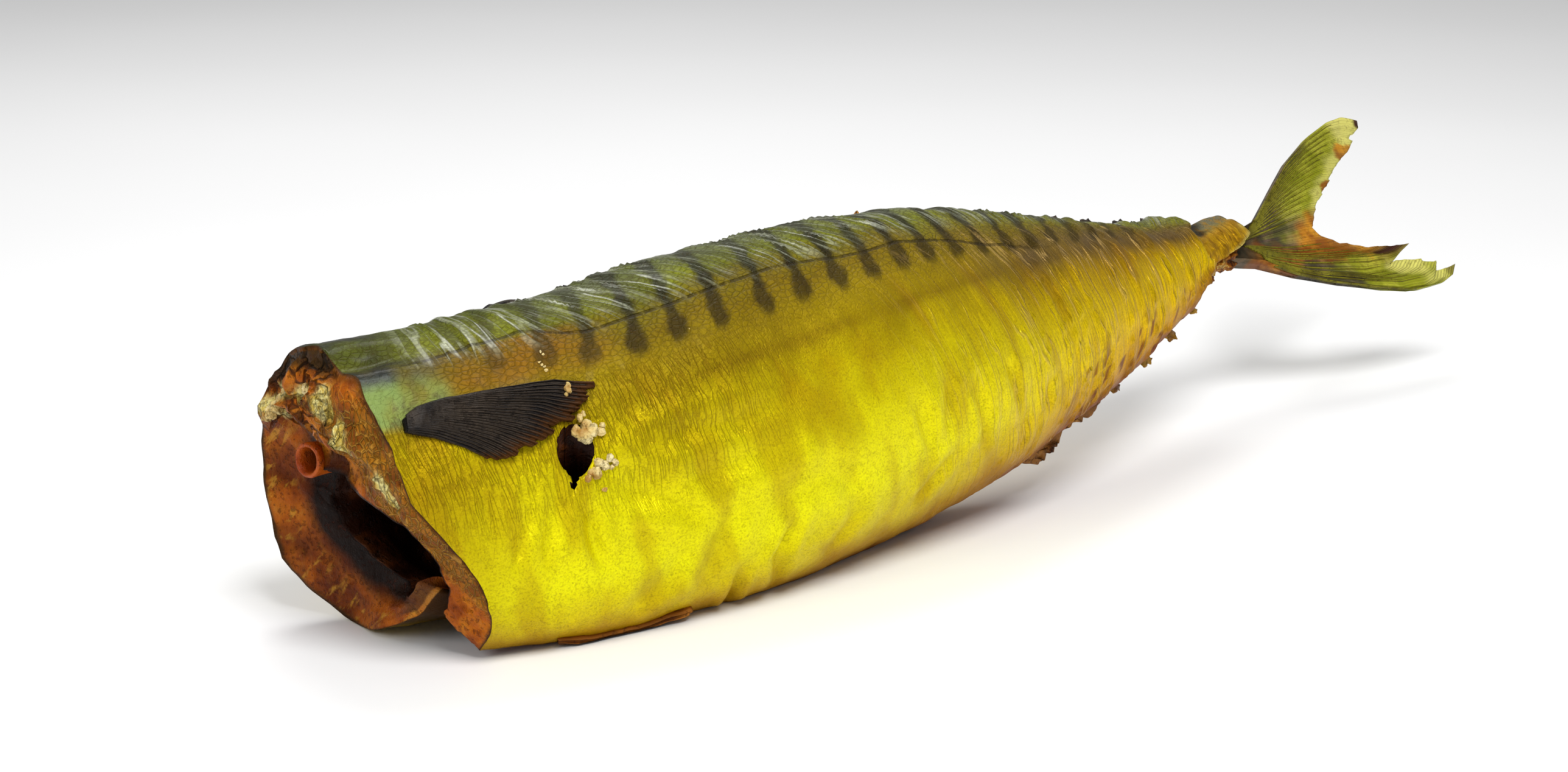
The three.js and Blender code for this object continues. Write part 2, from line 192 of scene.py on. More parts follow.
def axis_curve(steps=40):
    """Places along the axis of the body: how far each is from the cut, and where."""
    points = np.array(AXIS_ROUTE, float)
    points = np.vstack([2 * points[0] - points[1], points, 2 * points[-1] - points[-2]])
    places = []
    for a, b, c, d in zip(points, points[1:], points[2:], points[3:]):
        gaps = [max(np.sqrt(np.linalg.norm(q - p)), 1e-4) for p, q in ((a, b), (b, c), (c, d))]
        start = ((b - a) / gaps[0] - (c - a) / (gaps[0] + gaps[1]) + (c - b) / gaps[1]) * gaps[1]
        end = ((c - b) / gaps[1] - (d - b) / (gaps[1] + gaps[2]) + (d - c) / gaps[2]) * gaps[1]
        t = np.linspace(0, 1, steps, endpoint=False)[:, None]
        places.append(b + start * t + (3 * (c - b) - 2 * start - end) * t**2 + (2 * (b - c) + start + end) * t**3)
    places = np.vstack([*places, points[-2:-1]])
    run = np.concatenate([[0], np.cumsum(np.linalg.norm(np.diff(places, axis=0), axis=1))])
    return run - OVERRUN, places + FRAME_SHIFT


AXIS_AT, AXIS_PLACES = axis_curve()


def on_axis(at):
    return stacked(*(np.interp(at, AXIS_AT, AXIS_PLACES[:, k]) for k in range(3)))


def unit(way):
    return way / np.maximum(np.linalg.norm(way, axis=-1, keepdims=True), 1e-9)


def section_ways(at):
    """The way along the body at a distance from the cut, the fish's left, and its leaning up."""
    along = unit(on_axis(np.asarray(at) + 1) - on_axis(np.asarray(at) - 1))
    level = unit(stacked(along[..., 1], -along[..., 0], 0))
    upright = -np.cross(along, level)
    lean = np.radians(between(SECTIONS, "lean", at))[..., None]
    left = level * np.cos(lean) + upright * np.sin(lean)
    up = upright * np.cos(lean) - level * np.sin(lean)
    return along, left, up


def in_section(at, to_left, upwards):
    """A point so far to the left and so far up in a section. The lower half sags to the right."""
    _, left, up = section_ways(at)
    depth = np.maximum(0, -upwards) / between(SECTIONS, "belly", at)
    to_left = to_left - between(SECTIONS, "keel", at) * depth**2
    return on_axis(at) + left * to_left[..., None] + up * np.asarray(upwards)[..., None]


def power(value, exponent):
    return np.sign(value) * np.abs(value) ** exponent


def skin_point(at, turn, lift=0.0):
    at, turn, lift = np.broadcast_arrays(np.asarray(at, float), turn, lift)
    s, c = np.sin(turn * 2 * np.pi), np.cos(turn * 2 * np.pi)
    upper = c > 0
    full = np.where(upper, BACK_FULL, between(SECTIONS, "full", at))
    tall = np.where(upper, between(SECTIONS, "back", at), between(SECTIONS, "belly", at)) + lift
    wide = between(SECTIONS, "half", at) + lift
    return in_section(at, wide * power(s, full), tall * power(c, full))


def round_body(at):
    """The length once round the body, for distances across the skin."""
    return 2.9 * (between(SECTIONS, "half", at) + (between(SECTIONS, "back", at) + between(SECTIONS, "belly", at)) / 2)


def lining_point(at, share):
    """The wall of the belly cavity. share is 1 at the left lip of the slit, 0 at the roof and -1 at the right lip."""
    roof, floor, half = (between(CAVITY, key, at) for key in ("roof", "floor", "half"))
    width, left = between(SLIT, "width", at) / 2, between(SLIT, "left", at)
    lip = np.where(share > 0, left + width, width - left)
    angle = share * (np.pi - np.arcsin(np.clip(lip / half, -1, 1)))
    middle, tall = (roof - floor) / 2, (roof + floor) / 2
    return in_section(at, half * np.sin(angle), middle + tall * power(np.cos(angle), 0.85))


def cut_plane(plane):
    leads, trails = math.radians(plane["leads"]), math.radians(plane["trails"])
    way = np.array([math.cos(leads) * math.cos(trails), math.cos(leads) * math.sin(trails), math.sin(leads)])
    return on_axis(0.0) - np.array([0, 0, plane["under"]]), way


def cut_at(surface, place):
    """How far along each line of a surface the head cut meets it."""
    found = []
    for plane in (CUT, CORNER):
        origin, way = cut_plane(plane)
        at = np.zeros_like(place)
        for _ in range(14):
            at = at - ((surface(at, place) - origin) @ way) * 0.9
        found.append(at)
    return np.maximum(*found)


# ---------------------------------------------------------------- the body's skin, cavity and cut face

RINGS = np.concatenate([np.arange(0, 50, 0.72), np.arange(50, VENT, 0.8), np.linspace(VENT, BODY_LENGTH, 126)])
VENT_RING = int(np.argmin(np.abs(RINGS - VENT)))
SHARES = np.concatenate([np.linspace(1, 0, 100), np.linspace(0, -1, 70)[1:]])
RIM_ROWS = 24


def body_places():
    """Where each line across and along the skin lies: the distance from the cut and the turn."""
    left, right = between(LIPS, "left", RINGS), between(LIPS, "right", RINGS)
    left[VENT_RING:], right[VENT_RING:] = 0.5, 0.5
    turn = np.where(SHARES > 0, SHARES * left[:, None], SHARES * right[:, None])
    front = cut_at(skin_point, turn[0])
    front = front + 0.35 * grain(stacked(turn[0] * 170, 0 * turn[0]), 4, seed=3, octaves=2)
    front = front + 3.2 * bump(turn[0], 0.3, 0.09)
    at = RINGS[:, None] + front * (1 - rise(0, 62, RINGS))[:, None]
    at = at + COLLAR["past"] * rise(232, 246, at) * rise(-0.06, 0.05, turn) * rise(0.31, 0.24, turn)
    inner_front = cut_at(lining_point, SHARES) + 0.6 * grain(stacked(SHARES * 80, 0 * SHARES), 5, seed=4, octaves=2)
    inner_front += 7.5 * rise(-0.97, -0.8, SHARES) * rise(-0.02, -0.3, SHARES) + 3.0 * bump(SHARES, 0.6, 0.24)
    inner_at = RINGS[: VENT_RING + 1, None] + inner_front * (1 - rise(0, 62, RINGS[: VENT_RING + 1]))[:, None]
    return at, turn, inner_at


def fold_depths(at, turn):
    """How far the soft folds press the skin in."""
    across = 175.0
    pressed = np.zeros_like(at)
    for depth, half, line in FOLDS:
        nearest = np.full_like(at, 1e9)
        share = np.zeros_like(at)
        for n, ((a0, t0), (a1, t1)) in enumerate(zip(line, line[1:])):
            way = np.array([a1 - a0, (t1 - t0) * across])
            x, y = at - a0, (turn - t0) * across
            t = np.clip((x * way[0] + y * way[1]) / (way @ way), 0, 1)
            off = np.hypot(x - t * way[0], y - t * way[1])
            share = np.where(off < nearest, (n + t) / (len(line) - 1), share)
            nearest = np.minimum(nearest, off)
        ends = rise(0, 0.25, share) * rise(1, 0.7, share)
        groove = bump(nearest, 0, half) - 0.45 * bump(nearest, 2.2 * half, 1.2 * half)
        pressed += depth * groove * (0.25 + 0.75 * ends)
    return pressed


def crease_ways(at, turn):
    """How far along its own crease, and across all of them, a place lies: for the back and for the flank."""
    run = np.abs(turn) * round_body(at)
    wander = 1.2 * grain(stacked(at, turn * 175), 13, seed=21)
    on_back = at - np.interp(at, CREASE_AT, BACK_LEAN) * run + wander
    on_flank = at - np.interp(at, CREASE_AT, FLANK_LEAN) * run + wander
    return on_back, on_flank, run * np.where(turn < 0, -1, 1)


def creases(at, turn):
    """The creases: a value near 1 on each crest, for the back and for the flank, and how strong they are there."""
    back_across, flank_across, run = crease_ways(at, turn)
    back = 1 - np.abs(grain(stacked(back_across, run / 9), 3.0, seed=22))
    flank = 1 - np.abs(grain(stacked(flank_across, run / 11), 2.8, seed=23, octaves=2))
    side = np.abs(turn)
    on_back = rise(0.125, 0.09, side) * rise(10, 20, at) * rise(232, 215, at)
    on_flank = rise(92, 165, at) * rise(0.485, 0.44, side) * rise(0.09, 0.15, side)
    return back, flank, on_back, on_flank


def skin_lift(at, turn, places):
    """How far the skin stands off its plain form."""
    back, flank, on_back, on_flank = creases(at, turn)
    side = np.abs(turn)
    free = rise(0.5, 0.47, side)
    lift = 0.55 * grain(places, 17, seed=1, octaves=2)
    lift += 0.16 * grain(places, 3.2, seed=2, octaves=2)
    lift += on_back * (0.5 * rise(0.6, 1.0, back) - 0.25)
    lift += on_flank * free * (0.62 * rise(0.74, 1.0, flank) - 0.16) * np.interp(at, [90, 150, 200], [0.5, 0.9, 1.1])
    lift -= 1.9 * fold_depths(at, turn) + 0.8 * fold_depths(at + 4, -turn)
    # The skin is sucked in over the shoulder, and a pocket opens beside the ridge at the cut.
    lift -= 2.6 * bump(at, 5, 8) * bump(side, 0.075, 0.022)
    lift += 0.9 * bump(at, 6, 8) * bump(side, 0.112, 0.012)
    # Behind the last finlets the skin of the tail root lies lower, and its loose collar ends in a torn edge.
    frayed = grain(stacked(turn * 60, 0 * turn), 3, seed=31, octaves=2)
    edge = np.interp(side, ROOT_TURN, FLANK_END) + 1.3 * frayed
    lift += 2.3 * bump(at, 219, 16) * rise(0.14, 0.03, side)
    lift += 0.8 * bump(at, edge - 1.2, 2.5) * rise(0.02, 0.08, side)
    lift -= 1.9 * rise(edge, edge + 1.0, at) * rise(0.0, 0.06, side)
    torn = np.interp(side + 0.06 * (turn < 0), ROOT_TURN, SKIN_END) + 1.5 * frayed
    lift += COLLAR["flare"] * rise(234, 246, at) * rise(torn + 0.5, torn - 1, at)
    lift -= (0.9 + 1.0 * grain(places, 2.2, seed=33, octaves=2)) * rise(torn - 0.2, torn + 1.0, at)
    # A rim of skin curls out a little at the head cut.
    return lift + 0.3 * bump(at, 0, 1.0), edge, torn


def normals_of(grid):
    along, across = np.gradient(grid, axis=0), np.gradient(grid, axis=1)
    return unit(np.cross(along, across))


def over_table(places, least=0.0):
    places[..., 2] = np.maximum(places[..., 2], least)
    return places


def paint(at, turn):
    """The masks that the skin's colours go by."""
    side = np.abs(turn)
    run = turn * round_body(at)
    here = stacked(at, run)
    line = np.interp(at, LINE_AT, LINE_TURN)
    mark = np.zeros_like(at)
    slant = np.interp(at, [0, 130, 165, 246], [0.2, 0.2, 0.55, 0.6])
    ragged = 0.5 * grain(here, 2.2, seed=41, octaves=2)
    for k, end in enumerate(STRIPES):
        foot = np.interp(end, [20, 50, 125, 150, 180, 200], [0.122, 0.152, 0.155, 0.168, 0.172, 0.16])
        middle = end + slant * (foot - side) * round_body(at) + ragged
        above = foot - side
        half = np.interp(above, [-0.01, 0.0, 0.012, 0.035, 0.09, 0.15], [0.4, 1.7, 2.1, 1.25, 1.5, 2.2])
        weight = np.interp(end, [27, 53, 150, 194], [0.55, 1, 1, 0.75])
        edge = rise(half + 0.55, half - 0.55, np.abs(at - middle + 1.5 * np.sin(k * 2.4) * (turn < 0)))
        mark = np.maximum(mark, weight * edge * rise(-0.012, 0.004, above + 0.002 * ragged))
    soft = grain(here, 6, seed=42, octaves=3)
    smudge = rise(118, 158, at) * bump(side, np.interp(at, [120, 200], [0.185, 0.17]), np.interp(at, [120, 220], [0.018, 0.045]))
    band = rise(55, 75, at) * bump(side, 0.19, 0.006) * (0.8 + 0.4 * soft)
    rust = rise(13, 20, at) * rise(52, 42, at) * rise(0.088, 0.1, side) * rise(0.162, 0.14, side) * (0.75 + 0.5 * soft)
    silver = rise(20, 15, at + 60 * np.maximum(0, 0.14 - side)) * rise(0.104, 0.118, side) * rise(0.182, 0.168, side)
    # Dark slate skin along the lateral line near the cut, and painted shade in the pocket beside the ridge at the cut.
    slate_and_pocket_shade = rise(26, 10, at) * bump(side, 0.103 + 0.003 * soft, 0.016) + rise(0.1, 0.085, side) * rise(17, 6, at + 2 * soft)
    spots = rise(0.32, 0.62, grain(stacked(at / 1.3, run / 3.4), 1, seed=43, octaves=2) + 0.3 * soft)
    spots *= rise(148, 165, at) * rise(0.3, 0.36, side)
    keel = rise(0.40, 0.47, side) * rise(128, 160, at) * (0.7 + 0.6 * soft)
    stain = np.clip(np.maximum(spots * (at < 224), keel) + 0.9 * rise(214, 224, at) * rise(0.3, 0.36, side), 0, 1)
    back, flank, on_back, on_flank = creases(at, turn)
    back_across, flank_across, _ = crease_ways(at, turn)
    # Painted sheen: a greyish glaze on the back towards the ridge, standing in for the grazing reflection there.
    painted_sheen = rise(0.075, 0.045, side) * rise(30, 55, at)
    return {
        "stripe": mark,
        "line_off": (side - line) * round_body(at) / 10 + 0.5,
        "smudge": np.clip(smudge * (0.75 + 0.5 * soft), 0, 1),
        "band": np.clip(band, 0, 1),
        "rust": np.clip(rust, 0, 1),
        "silver": np.clip(silver * (0.85 + 0.6 * soft), 0, 1),
        "slate_and_pocket_shade": np.clip(slate_and_pocket_shade * (0.9 + 0.5 * soft), 0, 1),
        "stain": stain,
        "painted_sheen": np.clip(painted_sheen * (0.7 + 0.6 * soft), 0, 1),
        "on_back": on_back,
        "on_flank": on_flank,
        "back_across": back_across / 100,
        "flank_across": flank_across / 100,
        "run": run / 100,
    }


def rim_path(rows, columns):
    """Along the left lip from the vent to the cut, over the cut, and back along the right lip."""
    up = [(i, 0) for i in range(rows, -1, -1)]
    over = [(0, j) for j in range(1, columns)]
    return up + over + [(i, columns - 1) for i in range(1, rows + 1)]


def quads(index, keep=None):
    """Four corners for each cell of a grid of vertex numbers."""
    cells = np.stack([index[:-1, :-1], index[1:, :-1], index[1:, 1:], index[:-1, 1:]], axis=-1)
    return cells.reshape(-1, 4) if keep is None else cells[keep]


def curled(places, at, shares, thickness=0.0):
    """The right belly flap, curled under and up near the cut."""
    way = np.clip((-shares - CURL_FROM) / (1 - CURL_FROM), 0, 1)
    left = np.interp(way, CURL["share"], CURL["left"]) - 0.6 * thickness * way
    up = np.interp(way, CURL["share"], CURL["up"]) + thickness * (1 - 0.45 * way)
    weight = rise(0, 0.3, way) * rise(36, 12, at)
    return places + (in_section(at, left + 0 * at, up + 0 * at) - places) * weight[..., None]


def narrowed(places, at, past_cut, shares):
    """The mouth of the cavity, narrowed by the thick wall of the right side."""
    left = np.interp(shares, OPENING["share"], OPENING["left"])
    up = np.interp(shares, OPENING["share"], OPENING["up"])
    weight = rise(0.3, 0.05, shares) * rise(17, 1, past_cut)
    return places + (in_section(at, left + 0 * at, up + 0 * at) - places) * weight[..., None]


def build_body():
    at, turn, inner_at = body_places()
    shares = np.broadcast_to(SHARES, at.shape)
    inner_shares = shares[: VENT_RING + 1]
    hole = tear_cells(at, turn)
    at, turn = drawn_to_tear(at, turn)
    plain = curled(skin_point(at, turn), at, shares)
    lift, flank_edge, torn_edge = skin_lift(at, turn, plain)
    outer = over_table(plain + normals_of(plain) * lift[..., None])
    rows, columns = VENT_RING + 1, len(SHARES)
    inner = curled(lining_point(inner_at, inner_shares), inner_at, inner_shares, FLAP_THICK)
    inner = narrowed(inner, inner_at, inner_at - inner_at[:1], inner_shares)
    ribs = 0.35 * grain(stacked(inner_at + 0.5 * np.abs(SHARES) * 30, SHARES * 40 / 6 + 0 * inner_at), 3.4, seed=51)
    inner = over_table(inner - normals_of(inner) * (ribs + 0.4 * grain(inner, 6, seed=52, octaves=2))[..., None], 1.2)
    vent = outer[VENT_RING, 0].copy()
    outer[VENT_RING:, -1] = outer[VENT_RING:, 0]
    inner[-1] = vent

    path = rim_path(VENT_RING, columns)
    rim_i, rim_j = np.array(path).T
    start, end = outer[rim_i, rim_j], inner[rim_i, rim_j]
    along = section_ways(at[rim_i, rim_j])[0]
    share = np.linspace(0, 1, RIM_ROWS + 2)[1:-1][:, None, None]
    rim = start * (1 - share) + end * share
    wall = np.linalg.norm(end - start, axis=-1)
    relief = flesh_relief(rim) * np.minimum(1, wall / 9)
    on_face = rise(9, 0, RINGS[rim_i])
    rim = over_table(rim - along * (relief * on_face * np.sin(np.pi * share[..., 0]) ** 0.5)[..., None])
    face_left, face_up = face_places(rim)

    counts = np.cumsum([0, outer[..., 0].size, inner[..., 0].size, rim[..., 0].size])
    outer_index = np.arange(counts[1]).reshape(outer.shape[:2])
    inner_index = np.arange(counts[1], counts[2]).reshape(inner.shape[:2])
    rim_index = np.vstack([
        outer_index[rim_i, rim_j],
        np.arange(counts[2], counts[3]).reshape(rim.shape[:2]),
        inner_index[rim_i, rim_j],
    ])
    tail_middle = counts[3]
    points = np.vstack([outer.reshape(-1, 3), inner.reshape(-1, 3), rim.reshape(-1, 3), outer[-1].mean(0)[None]])

    inner_hole = hole[:VENT_RING]
    faces = [quads(outer_index, ~hole), quads(inner_index, ~inner_hole), quads(rim_index)]
    faces.append(bridge(outer_index, inner_index, inner_hole))
    last = outer_index[-1]
    cap = np.stack([last[:-1], last[1:], np.full(columns - 1, tail_middle)], axis=-1)
    finish_of = np.concatenate([np.full(len(f), k) for f, k in zip(faces, (0, 2, 1, 2))] + [np.full(len(cap), 1)])
    all_faces = [tuple(f) for block in faces for f in block.tolist()] + [tuple(f) for f in cap.tolist()]

    spare = np.zeros(len(points) - counts[1])
    masks = {name: np.concatenate([values.ravel(), spare]) for name, values in paint(at, turn).items()}
    face_depth = np.concatenate([np.zeros(counts[1]), np.ones(counts[2] - counts[1]), np.repeat(share[:, 0, 0], rim.shape[1]), [0.5]])
    masks["depth"] = face_depth
    masks["cream"] = np.concatenate([np.zeros(counts[2]), cream_bits(rim, face_left, face_up).ravel(), [0.0]])
    masks["raw"] = np.concatenate([np.zeros(counts[2]), rise(-2, -9, face_left).ravel(), [0.0]])
    past_flank = at - flank_edge
    # Where the skin of the curled flap lies, painted near-black as shade.
    curl = rise(0.15, 0.5, (-shares - CURL_FROM) / (1 - CURL_FROM)) * rise(46, 30, at)
    near_end = {
        "root": rise(0, 1.2, past_flank),
        # Painted shadow cast by the flank's edge on the tail root: wide towards the back, and a thin line all along the
        # edge.
        "edge_shadow": rise(0.0, 0.5, past_flank) * np.maximum(rise(11, 6, past_flank) * rise(0.2, 0.13, np.abs(turn)), 0.9 * rise(3.6, 1.6, past_flank)),
        "torn": rise(-0.3, 0.4, at - torn_edge),
        "torn_rim": bump(at, torn_edge - 1.0, 1.6) * rise(236, 242, at),
        "curl": curl,
    }
    masks.update({name: np.concatenate([values.ravel(), spare]) for name, values in near_end.items()})
    # The low places of the cut face, painted darker as shade.
    masks["low"] = np.concatenate([np.zeros(counts[2]), np.clip(0.5 + relief / 5, 0, 1).ravel(), [0.5]])
    flaky = np.maximum(rise(-8, -3, face_left) * rise(8, 12, face_up), rise(13, 16, face_up)) * rise(17, 13, face_left + 0.2 * face_up)
    masks["flaky"] = np.concatenate([np.zeros(counts[2]), (flaky * on_face).ravel(), [0.0]])
    # The curled right flap of the cut face, painted darker as shade.
    flap = rise(-0.84, -0.9, SHARES[rim_j]) * on_face
    masks["flap"] = np.concatenate([np.zeros(counts[2]), np.broadcast_to(flap, face_left.shape).ravel(), [0.0]])
    masks["hood"] = np.concatenate([np.zeros(counts[2]), (rise(22, 26, face_up) * on_face).ravel(), [0.0]])
    masks["thin"] = np.concatenate([np.zeros(counts[2]), np.broadcast_to(rise(6, 2.5, wall) * on_face, face_left.shape).ravel(), [0.0]])
    funnel = rise(-0.99, -0.85, SHARES[rim_j]) * rise(0.02, -0.12, SHARES[rim_j]) * on_face
    masks["funnel"] = np.concatenate([np.zeros(counts[1]), np.ones(counts[2] - counts[1]), np.broadcast_to(funnel, face_left.shape).ravel(), [0.0]])
    masks["near"] = np.concatenate([np.zeros(counts[2]), (rise(11, 15, face_left + 0.35 * face_up) * rise(24, 16, face_up)).ravel(), [0.0]])
    where = np.concatenate([stacked(at / 250, turn + 0.5).reshape(-1, 2), stacked(inner_at / 250, np.broadcast_to(SHARES / 2 + 0.5, inner_at.shape)).reshape(-1, 2), np.tile(stacked(at[rim_i, rim_j] / 250, turn[rim_i, rim_j] + 0.5), (RIM_ROWS, 1)), [[1, 0.5]]])
    return points, all_faces, finish_of, masks, where


def face_places(places):
    """How far left and up in the section at the cut each place of the cut face lies."""
    _, left, up = section_ways(0.0)
    off = places - on_axis(0.0)
    return off @ left, off @ up


def flesh_relief(places):
    """The flaked flesh of the cut face: plates that break at uneven edges, and smoother flesh on the right side."""
    left, up = face_places(places)
    warp = 2.6 * stacked(*(grain(places, 6, seed=60 + k, octaves=3) for k in range(3)))
    plates = grain(places + warp, 6.5, seed=64)
    steps = np.floor(plates * 3.2 + 0.5) / 3.2
    crumb = grain(places, 1.8, seed=65, octaves=3)
    flaky = np.maximum(rise(-8, -2, left) * rise(8, 12, up), rise(14, 18, up)) * rise(19, 14, left)
    rough = 0.22 + 0.9 * flaky + 0.25 * rise(14, 17, left)
    gap = 3.2 * np.exp(-(((left - 4.2) / 2.6) ** 2) - ((up - 8.5) / 3.2) ** 2)
    strip = 0.9 * np.exp(-(((left + 0.35 * up - 19) / 2.4) ** 2)) * rise(-24, -12, up) * rise(20, 12, up)
    return rough * (5.0 * steps + 0.6 * crumb) + 0.9 * grain(places, 9, seed=66) - gap + strip + 2.0 * rise(12, 22, up) * rise(30, 24, up)


def cream_bits(places, left, up):
    """Pale shreds of bone and sinew in the cut face."""
    ragged = 1.4 * grain(places, 3, seed=67, octaves=3)
    shreds = [((-13.5, 19), (5, 1.5)), ((-8, 22.5), (3.4, 1.8)), ((0.5, 20.5), (2.8, 1.8)), ((9.5, 19.5), (1.6, 2.6)), ((13.5, 13.5), (1.1, 3.4)), ((18.2, 4), (1.0, 4.5))]
    found = np.zeros_like(left)
    for (x, y), (wide, tall) in shreds:
        found = np.maximum(found, rise(1.25, 0.8, np.hypot((left - x) / wide, (up - y) / tall) + 0.3 * ragged))
    return found


def from_tear(at, turn):
    """How far a place lies from the middle of the tear: 1 at its ragged edge."""
    high = (turn - TEAR["turn"]) * round_body(at)
    ragged = 1 + 0.22 * grain(stacked(at, high), 2.2, seed=71)
    return np.hypot((at - TEAR["at"]) / (TEAR["long"] / 2), high / (TEAR["high"] / 2)) / ragged


def tear_cells(at, turn):
    """The cells of the skin that the tear takes out."""
    return from_tear((at[:-1, :-1] + at[1:, 1:]) / 2, (turn[:-1, :-1] + turn[1:, 1:]) / 2) < 1


def drawn_to_tear(at, turn):
    """The places of the skin, with those at the rim of the tear drawn onto its edge."""
    hole = np.pad(tear_cells(at, turn), 1)
    corners = np.stack([hole[:-1, :-1], hole[1:, :-1], hole[:-1, 1:], hole[1:, 1:]])
    rim = corners.any(axis=0) & ~corners.all(axis=0)
    share = np.where(rim, 1 / np.clip(from_tear(at, turn), 0.4, 2.5), 1.0)
    drawn_at = TEAR["at"] + (at - TEAR["at"]) * share
    high = (turn - TEAR["turn"]) * round_body(at) * share
    return np.where(rim, drawn_at, at), np.where(rim, TEAR["turn"] + high / round_body(drawn_at), turn)


def bridge(outer_index, inner_index, hole):
    """Walls between the two sheets round the cells that are left out."""
    walls = []
    rows, columns = hole.shape
    for i, j in zip(*np.nonzero(hole)):
        sides = {(i - 1, j): ((i, j), (i, j + 1)), (i + 1, j): ((i + 1, j + 1), (i + 1, j)),
                 (i, j - 1): ((i + 1, j), (i, j)), (i, j + 1): ((i, j + 1), (i + 1, j + 1))}
        for beside, (a, b) in sides.items():
            if not hole[beside]:
                walls.append((outer_index[a], outer_index[b], inner_index[b], inner_index[a]))
    return np.array(walls)


# ---------------------------------------------------------------- making pieces


def mesh_piece(name, points, faces, materials, finish_of=None, masks=None, where=None, merge=True):
    """A closed piece from points in millimetres, with its masks as attributes and its places as a UV map."""
    mesh = bpy.data.meshes.new(name)
    mesh.from_pydata((np.asarray(points) / 1000).tolist(), [], faces)
    for material in materials:
        mesh.materials.append(material)
    if finish_of is not None:
        mesh.polygons.foreach_set("material_index", np.asarray(finish_of, np.int32))
    for mask, values in (masks or {}).items():
        mesh.attributes.new(mask, "FLOAT", "POINT").data.foreach_set("value", np.asarray(values, np.float32))
    if where is not None:
        corners = np.zeros(len(mesh.loops), np.int32)
        mesh.loops.foreach_get("vertex_index", corners)
        mesh.uv_layers.new(name="Places").data.foreach_set("uv", np.asarray(where, np.float32)[corners].ravel())
    if merge:
        made = bmesh.new()
        made.from_mesh(mesh)
        bmesh.ops.remove_doubles(made, verts=made.verts, dist=2e-6)
        bmesh.ops.dissolve_degenerate(made, edges=made.edges, dist=1e-7)
        bmesh.ops.recalc_face_normals(made, faces=made.faces)
        made.to_mesh(mesh)
        made.free()
    mesh.polygons.foreach_set("use_smooth", np.ones(len(mesh.polygons), bool))
    piece = bpy.data.objects.new(name, mesh)
    bpy.context.collection.objects.link(piece)
    return piece


def settle(piece, slot, *nodes):
    """The piece rides on the fish and stands for its nodes. slot is not used."""
    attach(piece, "root")
    if nodes:
        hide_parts(*nodes)
    return piece


# ---------------------------------------------------------------- making materials


def colour(red, green, blue):
    """A colour from its 0 to 255 screen values."""
    return tuple(((c / 255 + 0.055) / 1.055) ** 2.4 if c > 10 else c / 255 / 12.92 for c in (red, green, blue)) + (1.0,)


def add_node(tree, kind, inputs=None, **settings):
    made = tree.nodes.new(kind)
    for name, value in settings.items():
        setattr(made, name, value)
    for socket, value in (inputs or {}).items():
        if isinstance(value, bpy.types.NodeSocket):
            tree.links.new(value, made.inputs[socket])
        else:
            made.inputs[socket].default_value = value
    return made


def calc(tree, operation, *values):
    return add_node(tree, "ShaderNodeMath", dict(enumerate(values)), operation=operation).outputs[0]


def fade(tree, value, low, high):
    """0 at low, 1 at high, and smooth between them."""
    given = {"Value": value, "From Min": low, "From Max": high}
    return add_node(tree, "ShaderNodeMapRange", given, interpolation_type="SMOOTHSTEP").outputs["Result"]


def mix(tree, share, first, second, kind="MIX"):
    made = add_node(tree, "ShaderNodeMix", {0: share, 6: first, 7: second}, data_type="RGBA", blend_type=kind)
    return made.outputs[2]


def ramp(tree, value, stops):
    made = add_node(tree, "ShaderNodeValToRGB", {0: value})
    band = made.color_ramp
    while len(band.elements) < len(stops):
        band.elements.new(0.5)
    for element, (place, shade) in zip(band.elements, stops):
        element.position, element.color = place, shade
    return made.outputs[0]


def noise(tree, places, scale, detail=2.0, roughness=0.5, distortion=0.0):
    given = {"Vector": places, "Scale": scale, "Detail": detail, "Roughness": roughness, "Distortion": distortion}
    return add_node(tree, "ShaderNodeTexNoise", given).outputs[0]


def mask(tree, name):
    return add_node(tree, "ShaderNodeAttribute", attribute_name=name).outputs["Fac"]


def object_places(tree, stretch=None):
    places = add_node(tree, "ShaderNodeTexCoord").outputs["Object"]
    if stretch is None:
        return places
    return add_node(tree, "ShaderNodeMapping", {"Vector": places, "Scale": stretch}).outputs[0]


def new_group(name, inputs, outputs):
    tree = bpy.data.node_groups.new(name, "ShaderNodeTree")
    for socket, value in inputs.items():
        made = tree.interface.new_socket(socket, in_out="INPUT", socket_type="NodeSocketFloat")
        made.default_value = value
    for socket in outputs:
        tree.interface.new_socket(socket, in_out="OUTPUT", socket_type="NodeSocketFloat")
    return tree, tree.nodes.new("NodeGroupInput"), tree.nodes.new("NodeGroupOutput")


def speckle_group():
    """Fine dark specks of smoke, and the pitted grain of dried skin or flesh."""
    tree, given, result = new_group("smoke_speckle", {"Scale": 1500.0, "Specks": 0.5}, ("Specks", "Height", "Cloud"))
    places = object_places(tree)
    fine = noise(tree, places, given.outputs["Scale"], 3.0, 0.65)
    coarse = noise(tree, places, calc(tree, "MULTIPLY", given.outputs["Scale"], 0.16), 3.0, 0.6)
    specks = fade(tree, calc(tree, "ADD", fine, calc(tree, "MULTIPLY", coarse, 0.35)), 0.72, 0.86)
    tree.links.new(calc(tree, "MULTIPLY", specks, given.outputs["Specks"]), result.inputs["Specks"])
    tree.links.new(calc(tree, "SUBTRACT", fine, calc(tree, "MULTIPLY", specks, 0.6)), result.inputs["Height"])
    tree.links.new(coarse, result.inputs["Cloud"])
    return tree


